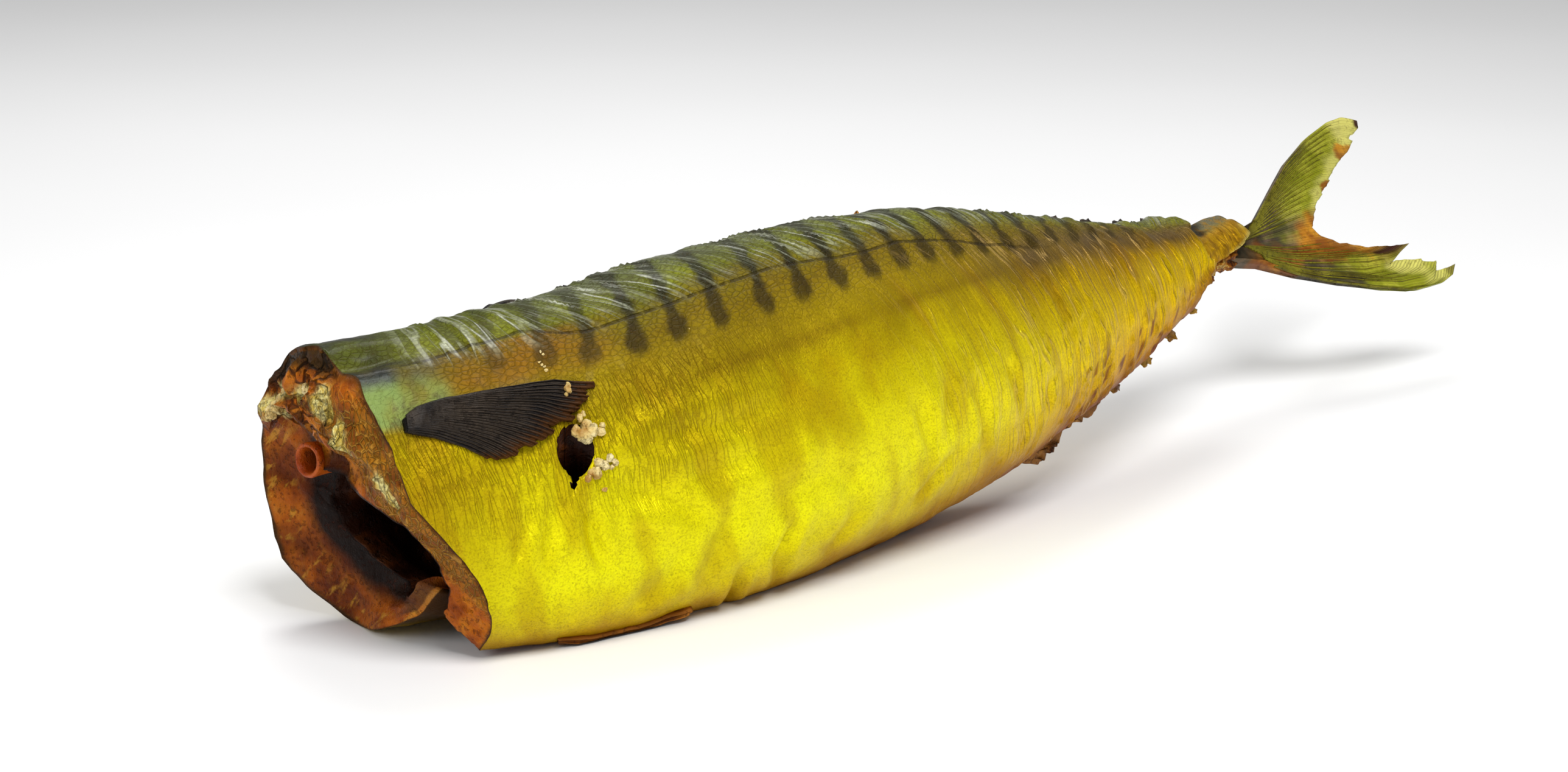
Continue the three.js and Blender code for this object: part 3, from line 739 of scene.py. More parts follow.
def rays_group():
    """The lines of a fin's rays, which run along U and lie side by side along V."""
    tree, given, result = new_group("fin_ray_lines", {"Count": 24.0, "Waver": 0.5}, ("Line", "Height"))
    place = add_node(tree, "ShaderNodeUVMap", uv_map="Places").outputs[0]
    parts = add_node(tree, "ShaderNodeSeparateXYZ", {0: place})
    waver = calc(tree, "MULTIPLY", noise(tree, place, 7.0, 2.0), given.outputs["Waver"])
    turns = calc(tree, "ADD", calc(tree, "MULTIPLY", parts.outputs[1], given.outputs["Count"]), waver)
    wave = calc(tree, "SINE", calc(tree, "MULTIPLY", turns, 2 * math.pi))
    tree.links.new(fade(tree, wave, 0.4, 0.98), result.inputs["Line"])
    tree.links.new(calc(tree, "MULTIPLY", wave, 0.5), result.inputs["Height"])
    return tree


def crease_group():
    """Thin long lines: their places across and along are measured in decimetres, their spacing in millimetres."""
    given = {"Across": 0.0, "Along": 0.0, "Spacing": 2.5, "Length": 9.0, "Width": 0.05}
    tree, given, result = new_group("skin_creases", given, ("Line", "Wave"))
    scale = calc(tree, "DIVIDE", 100.0, given.outputs["Spacing"])
    across = calc(tree, "MULTIPLY", given.outputs["Across"], scale)
    along = calc(tree, "DIVIDE", calc(tree, "MULTIPLY", given.outputs["Along"], scale), given.outputs["Length"])
    place = add_node(tree, "ShaderNodeCombineXYZ", {"X": across, "Y": along}).outputs[0]
    wave = calc(tree, "SUBTRACT", noise(tree, place, 1.0, 1.6, 0.5), 0.5)
    off = calc(tree, "DIVIDE", calc(tree, "ABSOLUTE", wave), given.outputs["Width"])
    tree.links.new(fade(tree, off, 1.0, 0.15), result.inputs["Line"])
    tree.links.new(calc(tree, "MULTIPLY", wave, 3.0), result.inputs["Wave"])
    return tree


SPECKLE = speckle_group()
CREASES = crease_group()
RAYS = rays_group()


def new_material(name, **shader):
    """A material with its Principled shader and the constants set on it."""
    material = bpy.data.materials.new(name)
    material.use_nodes = True
    body = material.node_tree.nodes["Principled BSDF"]
    for socket, value in shader.items():
        body.inputs[socket.replace("_", " ")].default_value = value
    return material, material.node_tree, body


def speckle(tree, scale, specks):
    made = add_node(tree, "ShaderNodeGroup", node_tree=SPECKLE)
    made.inputs["Scale"].default_value, made.inputs["Specks"].default_value = scale, specks
    return made.outputs["Specks"], made.outputs["Height"], made.outputs["Cloud"]


def crease_lines(tree, across, along, spacing, length, width):
    made = add_node(tree, "ShaderNodeGroup", {"Across": across, "Along": along}, node_tree=CREASES)
    for socket, value in (("Spacing", spacing), ("Length", length), ("Width", width)):
        made.inputs[socket].default_value = value
    return made.outputs["Line"], made.outputs["Wave"]


def finish_with(tree, body, base, roughness=None, metallic=None, height=None, depth=0.0003, strength=1.0):
    tree.links.new(base, body.inputs["Base Color"])
    if roughness is not None:
        tree.links.new(roughness, body.inputs["Roughness"])
    if metallic is not None:
        tree.links.new(metallic, body.inputs["Metallic"])
    if height is not None:
        made = add_node(tree, "ShaderNodeBump", {"Height": height, "Distance": depth, "Strength": strength})
        tree.links.new(made.outputs[0], body.inputs["Normal"])


FLANK_FRONT = [
    (0.06, colour(84, 92, 8)), (0.16, colour(112, 116, 4)), (0.21, colour(108, 96, 3)), (0.27, colour(118, 96, 3)),
    (0.33, colour(140, 118, 3)), (0.39, colour(158, 136, 3)), (0.45, colour(198, 178, 4)), (0.53, colour(226, 216, 8)),
    (0.66, colour(234, 230, 12)), (0.77, colour(222, 204, 6)), (0.85, colour(190, 150, 4)), (0.94, colour(146, 88, 6)),
]
FLANK_REAR = [
    (0.06, colour(104, 110, 60)), (0.2, colour(118, 118, 24)), (0.28, colour(104, 88, 20)), (0.34, colour(118, 92, 24)),
    (0.4, colour(146, 110, 14)), (0.46, colour(186, 146, 8)), (0.54, colour(226, 190, 8)), (0.66, colour(238, 200, 10)),
    (0.8, colour(212, 156, 12)), (0.94, colour(160, 92, 16)),
]


def skin_material():
    material, tree, body = new_material(
        "smoked_skin", Coat_Roughness=0.14, Specular_IOR_Level=0.1, Specular_Tint=(1.0, 0.95, 0.8, 1.0)
    )
    place = add_node(tree, "ShaderNodeUVMap", uv_map="Places").outputs[0]
    parts = add_node(tree, "ShaderNodeSeparateXYZ", {0: place})
    at = calc(tree, "MULTIPLY", parts.outputs[0], 250.0)
    side = calc(tree, "ABSOLUTE", calc(tree, "SUBTRACT", parts.outputs[1], 0.5))
    specks, pits, cloud = speckle(tree, 2300.0, 0.5)
    _, _, patches = speckle(tree, 420.0, 0.5)
    drift = calc(tree, "MULTIPLY", calc(tree, "SUBTRACT", patches, 0.5), 0.15)
    across = calc(tree, "ADD", calc(tree, "MULTIPLY", side, 2.0), drift)
    base = mix(tree, fade(tree, at, 95.0, 185.0), ramp(tree, across, FLANK_FRONT), ramp(tree, across, FLANK_REAR))

    def over(base, name_or_mask, shade, strength=1.0, kind="MIX"):
        here = mask(tree, name_or_mask) if isinstance(name_or_mask, str) else name_or_mask
        return mix(tree, calc(tree, "MULTIPLY", here, strength), base, shade, kind)

    # The small scales of the back, as a fine net.
    net_places = object_places(tree, (0.75, 1.0, 1.0))
    net = add_node(tree, "ShaderNodeTexVoronoi", {"Vector": net_places, "Scale": 950.0}, feature="DISTANCE_TO_EDGE")
    net_line = calc(tree, "MULTIPLY", fade(tree, net.outputs["Distance"], 0.16, 0.02), fade(tree, side, 0.2, 0.12))
    along = mask(tree, "run")
    back_line, back_wave = crease_lines(tree, mask(tree, "back_across"), along, 3.4, 12.0, 0.035)
    fine_line, fine_wave = crease_lines(tree, mask(tree, "back_across"), along, 1.5, 16.0, 0.05)
    flank_line, flank_wave = crease_lines(tree, mask(tree, "flank_across"), along, 2.6, 9.0, 0.025)
    streak, streak_wave = crease_lines(tree, mask(tree, "flank_across"), along, 0.9, 5.0, 0.06)
    on_back, on_flank = mask(tree, "on_back"), mask(tree, "on_flank")
    broad_line, broad_wave = crease_lines(tree, mask(tree, "flank_across"), along, 6.5, 2.6, 0.1)
    back_crest = calc(tree, "MULTIPLY", calc(tree, "MAXIMUM", back_line, calc(tree, "MULTIPLY", fine_line, 0.3)), on_back)
    flank_crest = calc(tree, "MULTIPLY", flank_line, on_flank)

    front = calc(tree, "MULTIPLY", fade(tree, at, 34.0, 4.0), fade(tree, side, 0.19, 0.24))
    base = over(base, front, colour(158, 122, 4), 0.75)
    # Painted shade: darker orange-brown in the troughs of the broad flank creases.
    broad_trough_shade = calc(tree, "MULTIPLY", fade(tree, side, 0.14, 0.22), fade(tree, broad_wave, 0.05, -0.55))
    base = over(base, broad_trough_shade, colour(160, 108, 4), 0.36)
    leather = fade(tree, noise(tree, object_places(tree), 2600.0, 3.0, 0.7), 0.44, 0.68)
    base = over(base, calc(tree, "MULTIPLY", leather, fade(tree, side, 0.14, 0.2)), colour(124, 84, 4), 0.34)
    cut_edge = calc(tree, "MULTIPLY", fade(tree, calc(tree, "ADD", at, calc(tree, "MULTIPLY", cloud, 6.0)), 9.0, 2.0), fade(tree, side, 0.17, 0.22))
    base = over(base, cut_edge, colour(148, 84, 6), 0.75)
    base = over(base, "rust", colour(140, 84, 4), 0.55)
    base = over(base, "band", colour(112, 84, 4), 0.5)
    base = over(base, "smudge", colour(92, 74, 48), 0.85)
    base = over(base, "stain", colour(120, 52, 12), 0.9)
    vein = fade(tree, noise(tree, object_places(tree), 260.0, 2.5, 0.55, 0.9), 0.52, 0.64)
    silver = mix(tree, calc(tree, "MULTIPLY", vein, 0.6), colour(124, 146, 78), colour(72, 80, 60))
    silver = mix(tree, fade(tree, side, 0.135, 0.112), silver, colour(78, 84, 84))
    base = over(base, "silver", silver, 0.95)
    stripe = calc(tree, "MULTIPLY", mask(tree, "stripe"), calc(tree, "ADD", 0.7, calc(tree, "MULTIPLY", cloud, 0.4)))
    ink = mix(tree, fade(tree, side, 0.14, 0.1), colour(54, 42, 8), colour(16, 18, 12))
    base = over(base, stripe, ink, 1.0)
    # Dark slate skin, with painted shade in the pocket beside the ridge at the cut.
    base = over(base, "slate_and_pocket_shade", colour(24, 27, 26), 0.95)
    # Painted sheen: a greyish reflection painted over the back near the ridge, weaker on the stripes.
    base = over(base, calc(tree, "MULTIPLY", mask(tree, "painted_sheen"), calc(tree, "SUBTRACT", 1.0, calc(tree, "MULTIPLY", stripe, 0.6))), colour(112, 116, 98), 0.4)
    # Painted shade in the troughs between the back's creases.
    back_trough_shade = calc(tree, "MULTIPLY", fade(tree, back_wave, 0.1, -0.5), on_back)
    base = over(base, back_trough_shade, colour(46, 48, 22), 0.5)
    # Painted highlight: the crests of the back's creases are painted pale; the flank's crests are painted paler too.
    base = over(base, back_crest, colour(176, 180, 152), 0.5)
    base = over(base, flank_crest, colour(214, 176, 104), 0.4)

    off = calc(tree, "ABSOLUTE", calc(tree, "MULTIPLY", calc(tree, "SUBTRACT", mask(tree, "line_off"), 0.5), 10.0))
    dash = fade(tree, noise(tree, add_node(tree, "ShaderNodeMapping", {"Vector": place, "Scale": (1.0, 0.05, 1.0)}).outputs[0], 150.0, 1.0), 0.3, 0.5)
    line = calc(tree, "MULTIPLY", fade(tree, off, 0.42, 0.16), calc(tree, "ADD", 0.35, calc(tree, "MULTIPLY", dash, 0.65)))
    line = calc(tree, "MULTIPLY", line, calc(tree, "MULTIPLY", fade(tree, at, 8.0, 14.0), fade(tree, at, 166.0, 140.0)))
    base = over(base, line, colour(34, 26, 12), 0.65)
    base = over(base, calc(tree, "MULTIPLY", net_line, fade(tree, mask(tree, "silver"), 0.6, 0.1)), colour(50, 42, 8), 0.35)
    side_streaks = calc(tree, "MULTIPLY", fade(tree, side, 0.15, 0.18), fade(tree, side, 0.3, 0.23))
    side_streaks = calc(tree, "MULTIPLY", side_streaks, fade(tree, at, 92.0, 60.0))
    base = over(base, calc(tree, "MULTIPLY", streak, side_streaks), colour(96, 60, 4), 0.3)
    base = over(base, specks, colour(96, 60, 6), 0.32)

    # The tail root behind the flank with the painted shadow of the flank's edge, the raw end past its torn skin, and
    # the belly flap that curls under, painted dark as shade.
    root_shade = ramp(tree, side, [(0.03, colour(104, 100, 78)), (0.1, colour(120, 104, 52)), (0.15, colour(164, 124, 24)), (0.24, colour(196, 150, 12)), (0.31, colour(204, 158, 14)), (0.36, colour(150, 92, 14)), (0.42, colour(120, 60, 10))])
    base = over(base, "root", mix(tree, fade(tree, cloud, 0.4, 0.62), root_shade, colour(150, 108, 14)), 0.95)
    # Painted shadow of the flank's edge on the tail root.
    base = over(base, "edge_shadow", colour(20, 20, 14), 0.92)
    base = over(base, "torn_rim", colour(228, 210, 112), 0.75)
    raw = ramp(tree, noise(tree, object_places(tree), 420.0, 3.0, 0.6), [(0.36, colour(44, 18, 4)), (0.46, colour(118, 60, 8)), (0.56, colour(164, 102, 16)), (0.64, colour(198, 164, 84))])
    base = over(base, "torn", raw, 0.95)
    # Painted shade: the skin of the curled belly flap is painted near-black.
    base = over(base, "curl", colour(44, 14, 5), 0.92)

    crests = calc(tree, "MAXIMUM", back_crest, flank_crest)
    roughness = calc(tree, "ADD", 0.36, calc(tree, "MULTIPLY", cloud, 0.2))
    roughness = calc(tree, "SUBTRACT", roughness, calc(tree, "MULTIPLY", crests, 0.1))
    gold = calc(tree, "MULTIPLY", fade(tree, side, 0.12, 0.22), fade(tree, side, 0.49, 0.42))
    clean = calc(tree, "SUBTRACT", 1.0, calc(tree, "MAXIMUM", mask(tree, "silver"), mask(tree, "stain")))
    metallic = calc(tree, "MULTIPLY", calc(tree, "MULTIPLY", gold, 0.55), clean)
    height = calc(tree, "SUBTRACT", calc(tree, "MULTIPLY", pits, 0.35), calc(tree, "MULTIPLY", net_line, 0.3))
    height = calc(tree, "SUBTRACT", height, calc(tree, "MULTIPLY", line, 0.9))
    height = calc(tree, "ADD", height, calc(tree, "MULTIPLY", crests, 0.9))
    waves = calc(tree, "ADD", calc(tree, "MULTIPLY", calc(tree, "ADD", back_wave, fine_wave), on_back), calc(tree, "MULTIPLY", calc(tree, "ADD", flank_wave, streak_wave), calc(tree, "MULTIPLY", on_flank, 0.6)))
    height = calc(tree, "ADD", height, waves)
    height = calc(tree, "ADD", height, calc(tree, "MULTIPLY", broad_wave, calc(tree, "MULTIPLY", fade(tree, side, 0.12, 0.2), 0.9)))
    height = calc(tree, "SUBTRACT", height, calc(tree, "MULTIPLY", calc(tree, "MULTIPLY", streak, side_streaks), 0.4))
    shine = calc(tree, "ADD", 0.03, calc(tree, "MULTIPLY", back_crest, 0.5))
    shine = calc(tree, "ADD", shine, calc(tree, "MULTIPLY", mask(tree, "slate_and_pocket_shade"), 0.1))
    tree.links.new(shine, body.inputs["Coat Weight"])
    finish_with(tree, body, base, roughness, metallic, height, 0.0004)
    return material


def flesh_material():
    material, tree, body = new_material("smoked_flesh", Coat_Weight=0.04, Coat_Roughness=0.12, Specular_IOR_Level=0.08)
    specks, pits, cloud = speckle(tree, 1100.0, 0.5)
    places = object_places(tree)
    fibre = noise(tree, object_places(tree, (1.0, 1.0, 0.3)), 700.0, 4.0, 0.7, 0.6)
    broad = noise(tree, places, 130.0, 3.0, 0.6)
    tone = calc(tree, "ADD", calc(tree, "MULTIPLY", cloud, 0.6), calc(tree, "MULTIPLY", broad, 0.6))
    base = ramp(tree, tone, [(0.36, colour(74, 26, 2)), (0.5, colour(138, 62, 4)), (0.62, colour(176, 90, 8)), (0.74, colour(196, 116, 18)), (0.86, colour(206, 150, 52))])
    base = mix(tree, calc(tree, "MULTIPLY", fade(tree, fibre, 0.52, 0.68), 0.3), base, colour(196, 136, 40))
    warped = add_node(tree, "ShaderNodeVectorMath", {0: add_node(tree, "ShaderNodeTexNoise", {"Vector": places, "Scale": 260.0, "Detail": 2.0}).outputs["Color"], "Scale": 0.006}, operation="SCALE").outputs[0]
    broken = add_node(tree, "ShaderNodeVectorMath", {0: places, 1: warped}, operation="ADD").outputs[0]
    flakes = add_node(tree, "ShaderNodeTexVoronoi", {"Vector": broken, "Scale": 190.0}, feature="DISTANCE_TO_EDGE")
    tints = add_node(tree, "ShaderNodeTexVoronoi", {"Vector": broken, "Scale": 190.0})
    tint = add_node(tree, "ShaderNodeSeparateColor", {"Color": tints.outputs["Color"]}).outputs[0]
    base = mix(tree, calc(tree, "MULTIPLY", tint, calc(tree, "MULTIPLY", mask(tree, "flaky"), 0.4)), base, colour(214, 142, 40))
    # Painted shade in the cracks between the flakes.
    crack = calc(tree, "MULTIPLY", fade(tree, flakes.outputs["Distance"], 0.1, 0.0), mask(tree, "flaky"))
    base = mix(tree, calc(tree, "MULTIPLY", crack, 0.75), base, colour(70, 24, 2))
    smooth = mix(tree, fade(tree, broad, 0.4, 0.62), colour(84, 30, 3), colour(150, 72, 6))
    base = mix(tree, calc(tree, "MULTIPLY", mask(tree, "raw"), 0.7), base, smooth)
    turned = add_node(tree, "ShaderNodeMapping", {"Vector": places, "Rotation": (0.75, 0.0, 0.0)}).outputs[0]
    stretched = add_node(tree, "ShaderNodeMapping", {"Vector": turned, "Scale": (1.0, 0.12, 1.0)}).outputs[0]
    sinew = fade(tree, noise(tree, stretched, 520.0, 3.0, 0.6, 0.4), 0.54, 0.66)
    outer_half = fade(tree, mask(tree, "depth"), 0.6, 0.25)
    sinew = calc(tree, "MULTIPLY", calc(tree, "MULTIPLY", sinew, mask(tree, "funnel")), outer_half)
    base = mix(tree, calc(tree, "MULTIPLY", sinew, 0.6), base, colour(196, 142, 44))
    cells = add_node(tree, "ShaderNodeTexVoronoi", {"Vector": object_places(tree, (1.0, 1.0, 0.5)), "Scale": 900.0}, feature="DISTANCE_TO_EDGE")
    pitted = mix(tree, fade(tree, cells.outputs["Distance"], 0.0, 0.16), colour(176, 134, 48), mix(tree, fade(tree, cloud, 0.42, 0.6), colour(92, 54, 6), colour(150, 102, 18)))
    base = mix(tree, calc(tree, "MULTIPLY", mask(tree, "near"), 0.7), base, pitted)
    base = mix(tree, calc(tree, "MULTIPLY", mask(tree, "thin"), 0.75), base, colour(202, 166, 78))
    # Painted shade in the low places of the flaked relief.
    base = mix(tree, calc(tree, "MULTIPLY", fade(tree, mask(tree, "low"), 0.5, 0.12), 0.85), base, colour(46, 14, 2))
    base = mix(tree, mask(tree, "cream"), base, mix(tree, fade(tree, fibre, 0.4, 0.6), colour(196, 168, 72), colour(226, 214, 142)))
    # Painted shade: the flesh darkens to near-black deep in the opening of the cavity.
    deep = calc(tree, "MULTIPLY", fade(tree, calc(tree, "ADD", mask(tree, "depth"), calc(tree, "MULTIPLY", broad, 0.3)), 0.62, 0.92), mask(tree, "funnel"))
    base = mix(tree, calc(tree, "MULTIPLY", deep, 0.98), base, colour(9, 3, 1))
    # Painted shade: the curled belly flap is darker, except near its skin edge.
    base = mix(tree, calc(tree, "MULTIPLY", calc(tree, "MULTIPLY", mask(tree, "flap"), fade(tree, mask(tree, "depth"), 0.2, 0.34)), 0.8), base, colour(62, 26, 5))
    hood = calc(tree, "MULTIPLY", fade(tree, calc(tree, "ADD", mask(tree, "depth"), calc(tree, "MULTIPLY", broad, 0.2)), 0.34, 0.22), mask(tree, "hood"))
    base = mix(tree, calc(tree, "MULTIPLY", hood, 0.9), base, colour(26, 26, 12))
    base = mix(tree, calc(tree, "MULTIPLY", fade(tree, mask(tree, "depth"), 0.08, 0.0), 0.75), base, colour(66, 42, 6))
    base = mix(tree, specks, base, colour(64, 22, 4))
    roughness = calc(tree, "ADD", 0.26, calc(tree, "MULTIPLY", cloud, 0.3))
    height = calc(tree, "ADD", calc(tree, "MULTIPLY", fibre, 0.9), calc(tree, "MULTIPLY", pits, 0.6))
    dents = calc(tree, "MULTIPLY", calc(tree, "MULTIPLY", fade(tree, cells.outputs["Distance"], 0.0, 0.14), mask(tree, "near")), -1.2)
    cliffs = calc(tree, "MULTIPLY", calc(tree, "ADD", calc(tree, "MULTIPLY", tint, 2.5), calc(tree, "MULTIPLY", crack, -2.5)), mask(tree, "flaky"))
    height = calc(tree, "ADD", calc(tree, "ADD", height, dents), cliffs)
    finish_with(tree, body, base, roughness, None, height, 0.0006)
    return material


def lining_material():
    material, tree, body = new_material("cavity_lining", Coat_Weight=0.04, Coat_Roughness=0.2, Specular_IOR_Level=0.08)
    specks, pits, cloud = speckle(tree, 700.0, 0.6)
    base = ramp(tree, cloud, [(0.3, colour(12, 5, 3)), (0.55, colour(40, 16, 5)), (0.75, colour(92, 46, 12))])
    base = mix(tree, specks, base, colour(16, 7, 4))
    finish_with(tree, body, base, calc(tree, "ADD", 0.3, calc(tree, "MULTIPLY", cloud, 0.3)), None, pits, 0.0005)
    return material


def bone_material():
    material, tree, body = new_material("cooked_bone", Coat_Weight=0.1, Coat_Roughness=0.12, Specular_IOR_Level=0.15)
    specks, pits, cloud = speckle(tree, 900.0, 0.5)
    base = ramp(tree, cloud, [(0.35, colour(146, 56, 6)), (0.6, colour(186, 88, 14)), (0.8, colour(206, 130, 44))])
    base = mix(tree, calc(tree, "MULTIPLY", mask(tree, "hollow"), 0.8), base, colour(70, 22, 3))
    base = mix(tree, specks, base, colour(90, 30, 6))
    finish_with(tree, body, base, calc(tree, "ADD", 0.25, calc(tree, "MULTIPLY", cloud, 0.3)), None, pits, 0.0004)
    return material


def fin_material(name, dark, light, scale=900.0):
    material, tree, body = new_material(name, Coat_Weight=0.04, Coat_Roughness=0.2, Specular_IOR_Level=0.1)
    specks, pits, cloud = speckle(tree, scale, 0.5)
    base = ramp(tree, cloud, [(0.35, dark), (0.72, light)])
    base = mix(tree, specks, base, tuple(0.4 * c for c in dark[:3]) + (1.0,))
    finish_with(tree, body, base, calc(tree, "ADD", 0.3, calc(tree, "MULTIPLY", cloud, 0.25)), None, pits, 0.0004)
    return material


def rayed_material(name, web, line, margin, count, waver=0.4):
    """A fin's web with its rays showing as lines, and another colour towards its margin."""
    material, tree, body = new_material(name, Coat_Weight=0.02, Coat_Roughness=0.2, Specular_IOR_Level=0.08)
    specks, pits, cloud = speckle(tree, 1100.0, 0.5)
    rays = add_node(tree, "ShaderNodeGroup", node_tree=RAYS)
    rays.inputs["Count"].default_value, rays.inputs["Waver"].default_value = count, waver
    base = mix(tree, calc(tree, "MULTIPLY", fade(tree, cloud, 0.35, 0.7), 0.5), web, line)
    base = mix(tree, calc(tree, "MULTIPLY", rays.outputs["Line"], 0.75), base, line)
    edge = fade(tree, calc(tree, "ADD", mask(tree, "out"), calc(tree, "MULTIPLY", cloud, 0.15)), 0.9, 1.1)
    base = mix(tree, edge, base, margin)
    base = mix(tree, specks, base, tuple(0.4 * c for c in web[:3]) + (1.0,))
    height = calc(tree, "ADD", calc(tree, "MULTIPLY", rays.outputs["Height"], 0.8), calc(tree, "MULTIPLY", pits, 0.4))
    finish_with(tree, body, base, calc(tree, "ADD", 0.28, calc(tree, "MULTIPLY", cloud, 0.3)), None, height, 0.0004)
    return material


def tail_material():
    """The dried web of the tail: yellow-green, with brown ray lines, stains, and burnt margins."""
    material, tree, body = new_material("tail_web", Coat_Weight=0.03, Coat_Roughness=0.25, Specular_IOR_Level=0.12)
    specks, pits, cloud = speckle(tree, 1000.0, 0.35)
    rays = add_node(tree, "ShaderNodeGroup", node_tree=RAYS)
    rays.inputs["Count"].default_value, rays.inputs["Waver"].default_value = 30.0, 0.25
    fine = add_node(tree, "ShaderNodeGroup", node_tree=RAYS)
    fine.inputs["Count"].default_value, fine.inputs["Waver"].default_value = 118.0, 0.9
    out = mask(tree, "out")
    base = mix(tree, fade(tree, cloud, 0.35, 0.7), colour(140, 144, 22), colour(184, 184, 56))
    inner = fade(tree, out, 0.85, 0.45)
    lines = calc(tree, "MULTIPLY", rays.outputs["Line"], calc(tree, "MULTIPLY", inner, 0.95))
    base = mix(tree, lines, base, colour(74, 66, 10))
    base = mix(tree, calc(tree, "MULTIPLY", fine.outputs["Line"], 0.35), base, colour(104, 92, 18))
    base = mix(tree, calc(tree, "MULTIPLY", mask(tree, "pale"), 0.8), base, colour(222, 214, 118))
    base = mix(tree, calc(tree, "MULTIPLY", mask(tree, "root"), 0.9), base, mix(tree, fade(tree, cloud, 0.42, 0.6), colour(58, 50, 44), colour(104, 84, 70)))
    stain = mix(tree, fade(tree, cloud, 0.4, 0.65), colour(140, 72, 10), colour(196, 128, 24))
    base = mix(tree, calc(tree, "MULTIPLY", mask(tree, "stain"), 0.9), base, stain)
    base = mix(tree, mask(tree, "burn"), base, colour(62, 28, 14))
    base = mix(tree, specks, base, colour(90, 60, 18))
    height = calc(tree, "ADD", calc(tree, "MULTIPLY", fine.outputs["Height"], 0.6), calc(tree, "MULTIPLY", pits, 0.5))
    finish_with(tree, body, base, calc(tree, "ADD", 0.32, calc(tree, "MULTIPLY", cloud, 0.25)), None, height, 0.0003)
    return material


def curd_material(name, dark, middle, light):
    material, tree, body = new_material(name, Coat_Weight=0.1, Coat_Roughness=0.3, Specular_IOR_Level=0.3)
    specks, pits, cloud = speckle(tree, 1600.0, 0.5)
    base = ramp(tree, cloud, [(0.35, dark), (0.5, middle), (0.7, light)])
    base = mix(tree, specks, base, tuple(0.3 * c for c in dark[:3]) + (1.0,))
    finish_with(tree, body, base, calc(tree, "ADD", 0.35, calc(tree, "MULTIPLY", cloud, 0.3)), None, pits, 0.0003)
    return material


def floor_material():
    material, tree, body = new_material("pale_floor", Roughness=0.8, Specular_IOR_Level=0.2)
    cloud = noise(tree, object_places(tree), 3.0, 2.0)
    finish_with(tree, body, ramp(tree, cloud, [(0.3, (0.86, 0.86, 0.86, 1)), (0.7, (0.9, 0.9, 0.9, 1))]))
    return material


SKIN, FLESH, LINING, BONE_FINISH = skin_material(), flesh_material(), lining_material(), bone_material()
PECTORAL_WEB = rayed_material("pectoral_web", colour(17, 17, 20), colour(62, 52, 42), colour(78, 46, 18), 24.0)
DORSAL_WEB = rayed_material("dorsal_web", colour(22, 22, 22), colour(66, 56, 40), colour(88, 58, 28), 12.0)
PELVIC_WEB = rayed_material("pelvic_web", colour(84, 42, 12), colour(150, 92, 30), colour(176, 112, 40), 9.0)
RAGGED_FIN = fin_material("ragged_finlet", colour(104, 56, 10), colour(190, 146, 48))
BROWN_FIN = fin_material("brown_fin", colour(86, 40, 14), colour(176, 122, 48))
DARK_FIN = fin_material("dark_fin", colour(26, 24, 24), colour(84, 72, 58))
RAY_BONE = fin_material("fin_ray", colour(16, 16, 19), colour(66, 56, 46))
TAIL_RAY = fin_material("tail_ray", colour(84, 76, 12), colour(140, 134, 34))
TAIL_WEB, CURD = tail_material(), curd_material("dried_curd", colour(168, 124, 56), colour(210, 184, 116), colour(232, 218, 166))
CRUMB = curd_material("brown_crumb", colour(44, 20, 5), colour(104, 62, 16), colour(160, 116, 44))


# ---------------------------------------------------------------- the fins' shapes

ACROSS = 175.0  # the length once round the body where the fins lie

# A fin lies between three lines of places: its leading edge and its trailing edge, both from root to margin, and its
# margin between their ends. On the skin a place is a distance from the cut and a turn.
PECTORAL = {
    "leading": [(8, 0.168), (11, 0.159), (16, 0.154), (26, 0.1535), (36, 0.158), (43.5, 0.171)],
    "trailing": [(8, 0.18), (13, 0.19), (18, 0.204), (22, 0.219)],
    "margin": [(43.5, 0.171), (43.5, 0.184), (40, 0.193), (35.5, 0.203), (30, 0.213), (25, 0.221), (22, 0.219)],
}
PELVIC = {
    "leading": [(33, 0.425), (42, 0.432), (52, 0.43), (60.5, 0.418)],
    "trailing": [(34, 0.452), (42, 0.458), (51, 0.455)],
    "margin": [(60.5, 0.418), (57, 0.437), (54, 0.447), (51, 0.455)],
}
FIRST_DORSAL = {
    "leading": [(34, 0.05), (50, 0.052), (72, 0.06)],
    "trailing": [(34, 0.08), (46, 0.084), (60, 0.08)],
    "margin": [(72, 0.06), (66, 0.071), (60, 0.08)],
}
# On the tail a place is how far out along its axis, and how far up its spread.
TAIL_UPPER = {
    "leading": [(-4, 3.0), (6, 3.5), (12.4, 4.9), (23.3, 11.3), (33.8, 17.4), (46, 22.6), (56.6, 25.6), (64, 26.6), (70.4, 25.0)],
    "trailing": [(-4, 0), (12, -0.3), (30, -0.2)],
    "margin": [(70.4, 25.0), (69.4, 23.2), (66, 21.4), (59, 17.4), (52, 13.8), (47.7, 11.4), (42, 8.4), (37.5, 6.2), (33, 2.8), (30, -0.2)],
}
TAIL_LOWER = {
    "leading": [(-4, -3.2), (6.2, -5.8), (15.5, -10.6), (27.4, -15.4), (40.5, -19.4), (52.5, -21.9), (63, -21.9), (68.2, -20.6), (72.4, -17.6)],
    "trailing": [(-4, 0), (12, -0.3), (30, -0.2)],
    "margin": [(72.4, -17.6), (67, -18.2), (63.5, -18.2), (67, -15.6), (62, -14.6), (56.5, -13.9), (50.5, -12.9), (60.5, -9.8), (52, -9.2), (44.7, -8.4), (35.4, -5.8), (31.5, -2.6), (30, -0.2)],
}
TAIL_AXIS = unit(np.array([69.0, 8.0, 1.0]))
TAIL_SPREAD = unit(np.array([-3.0, 30.0, 34.0]) - np.array([-3.0, 30.0, 34.0]) @ TAIL_AXIS * TAIL_AXIS)
TAIL_ACROSS = np.cross(TAIL_AXIS, TAIL_SPREAD)


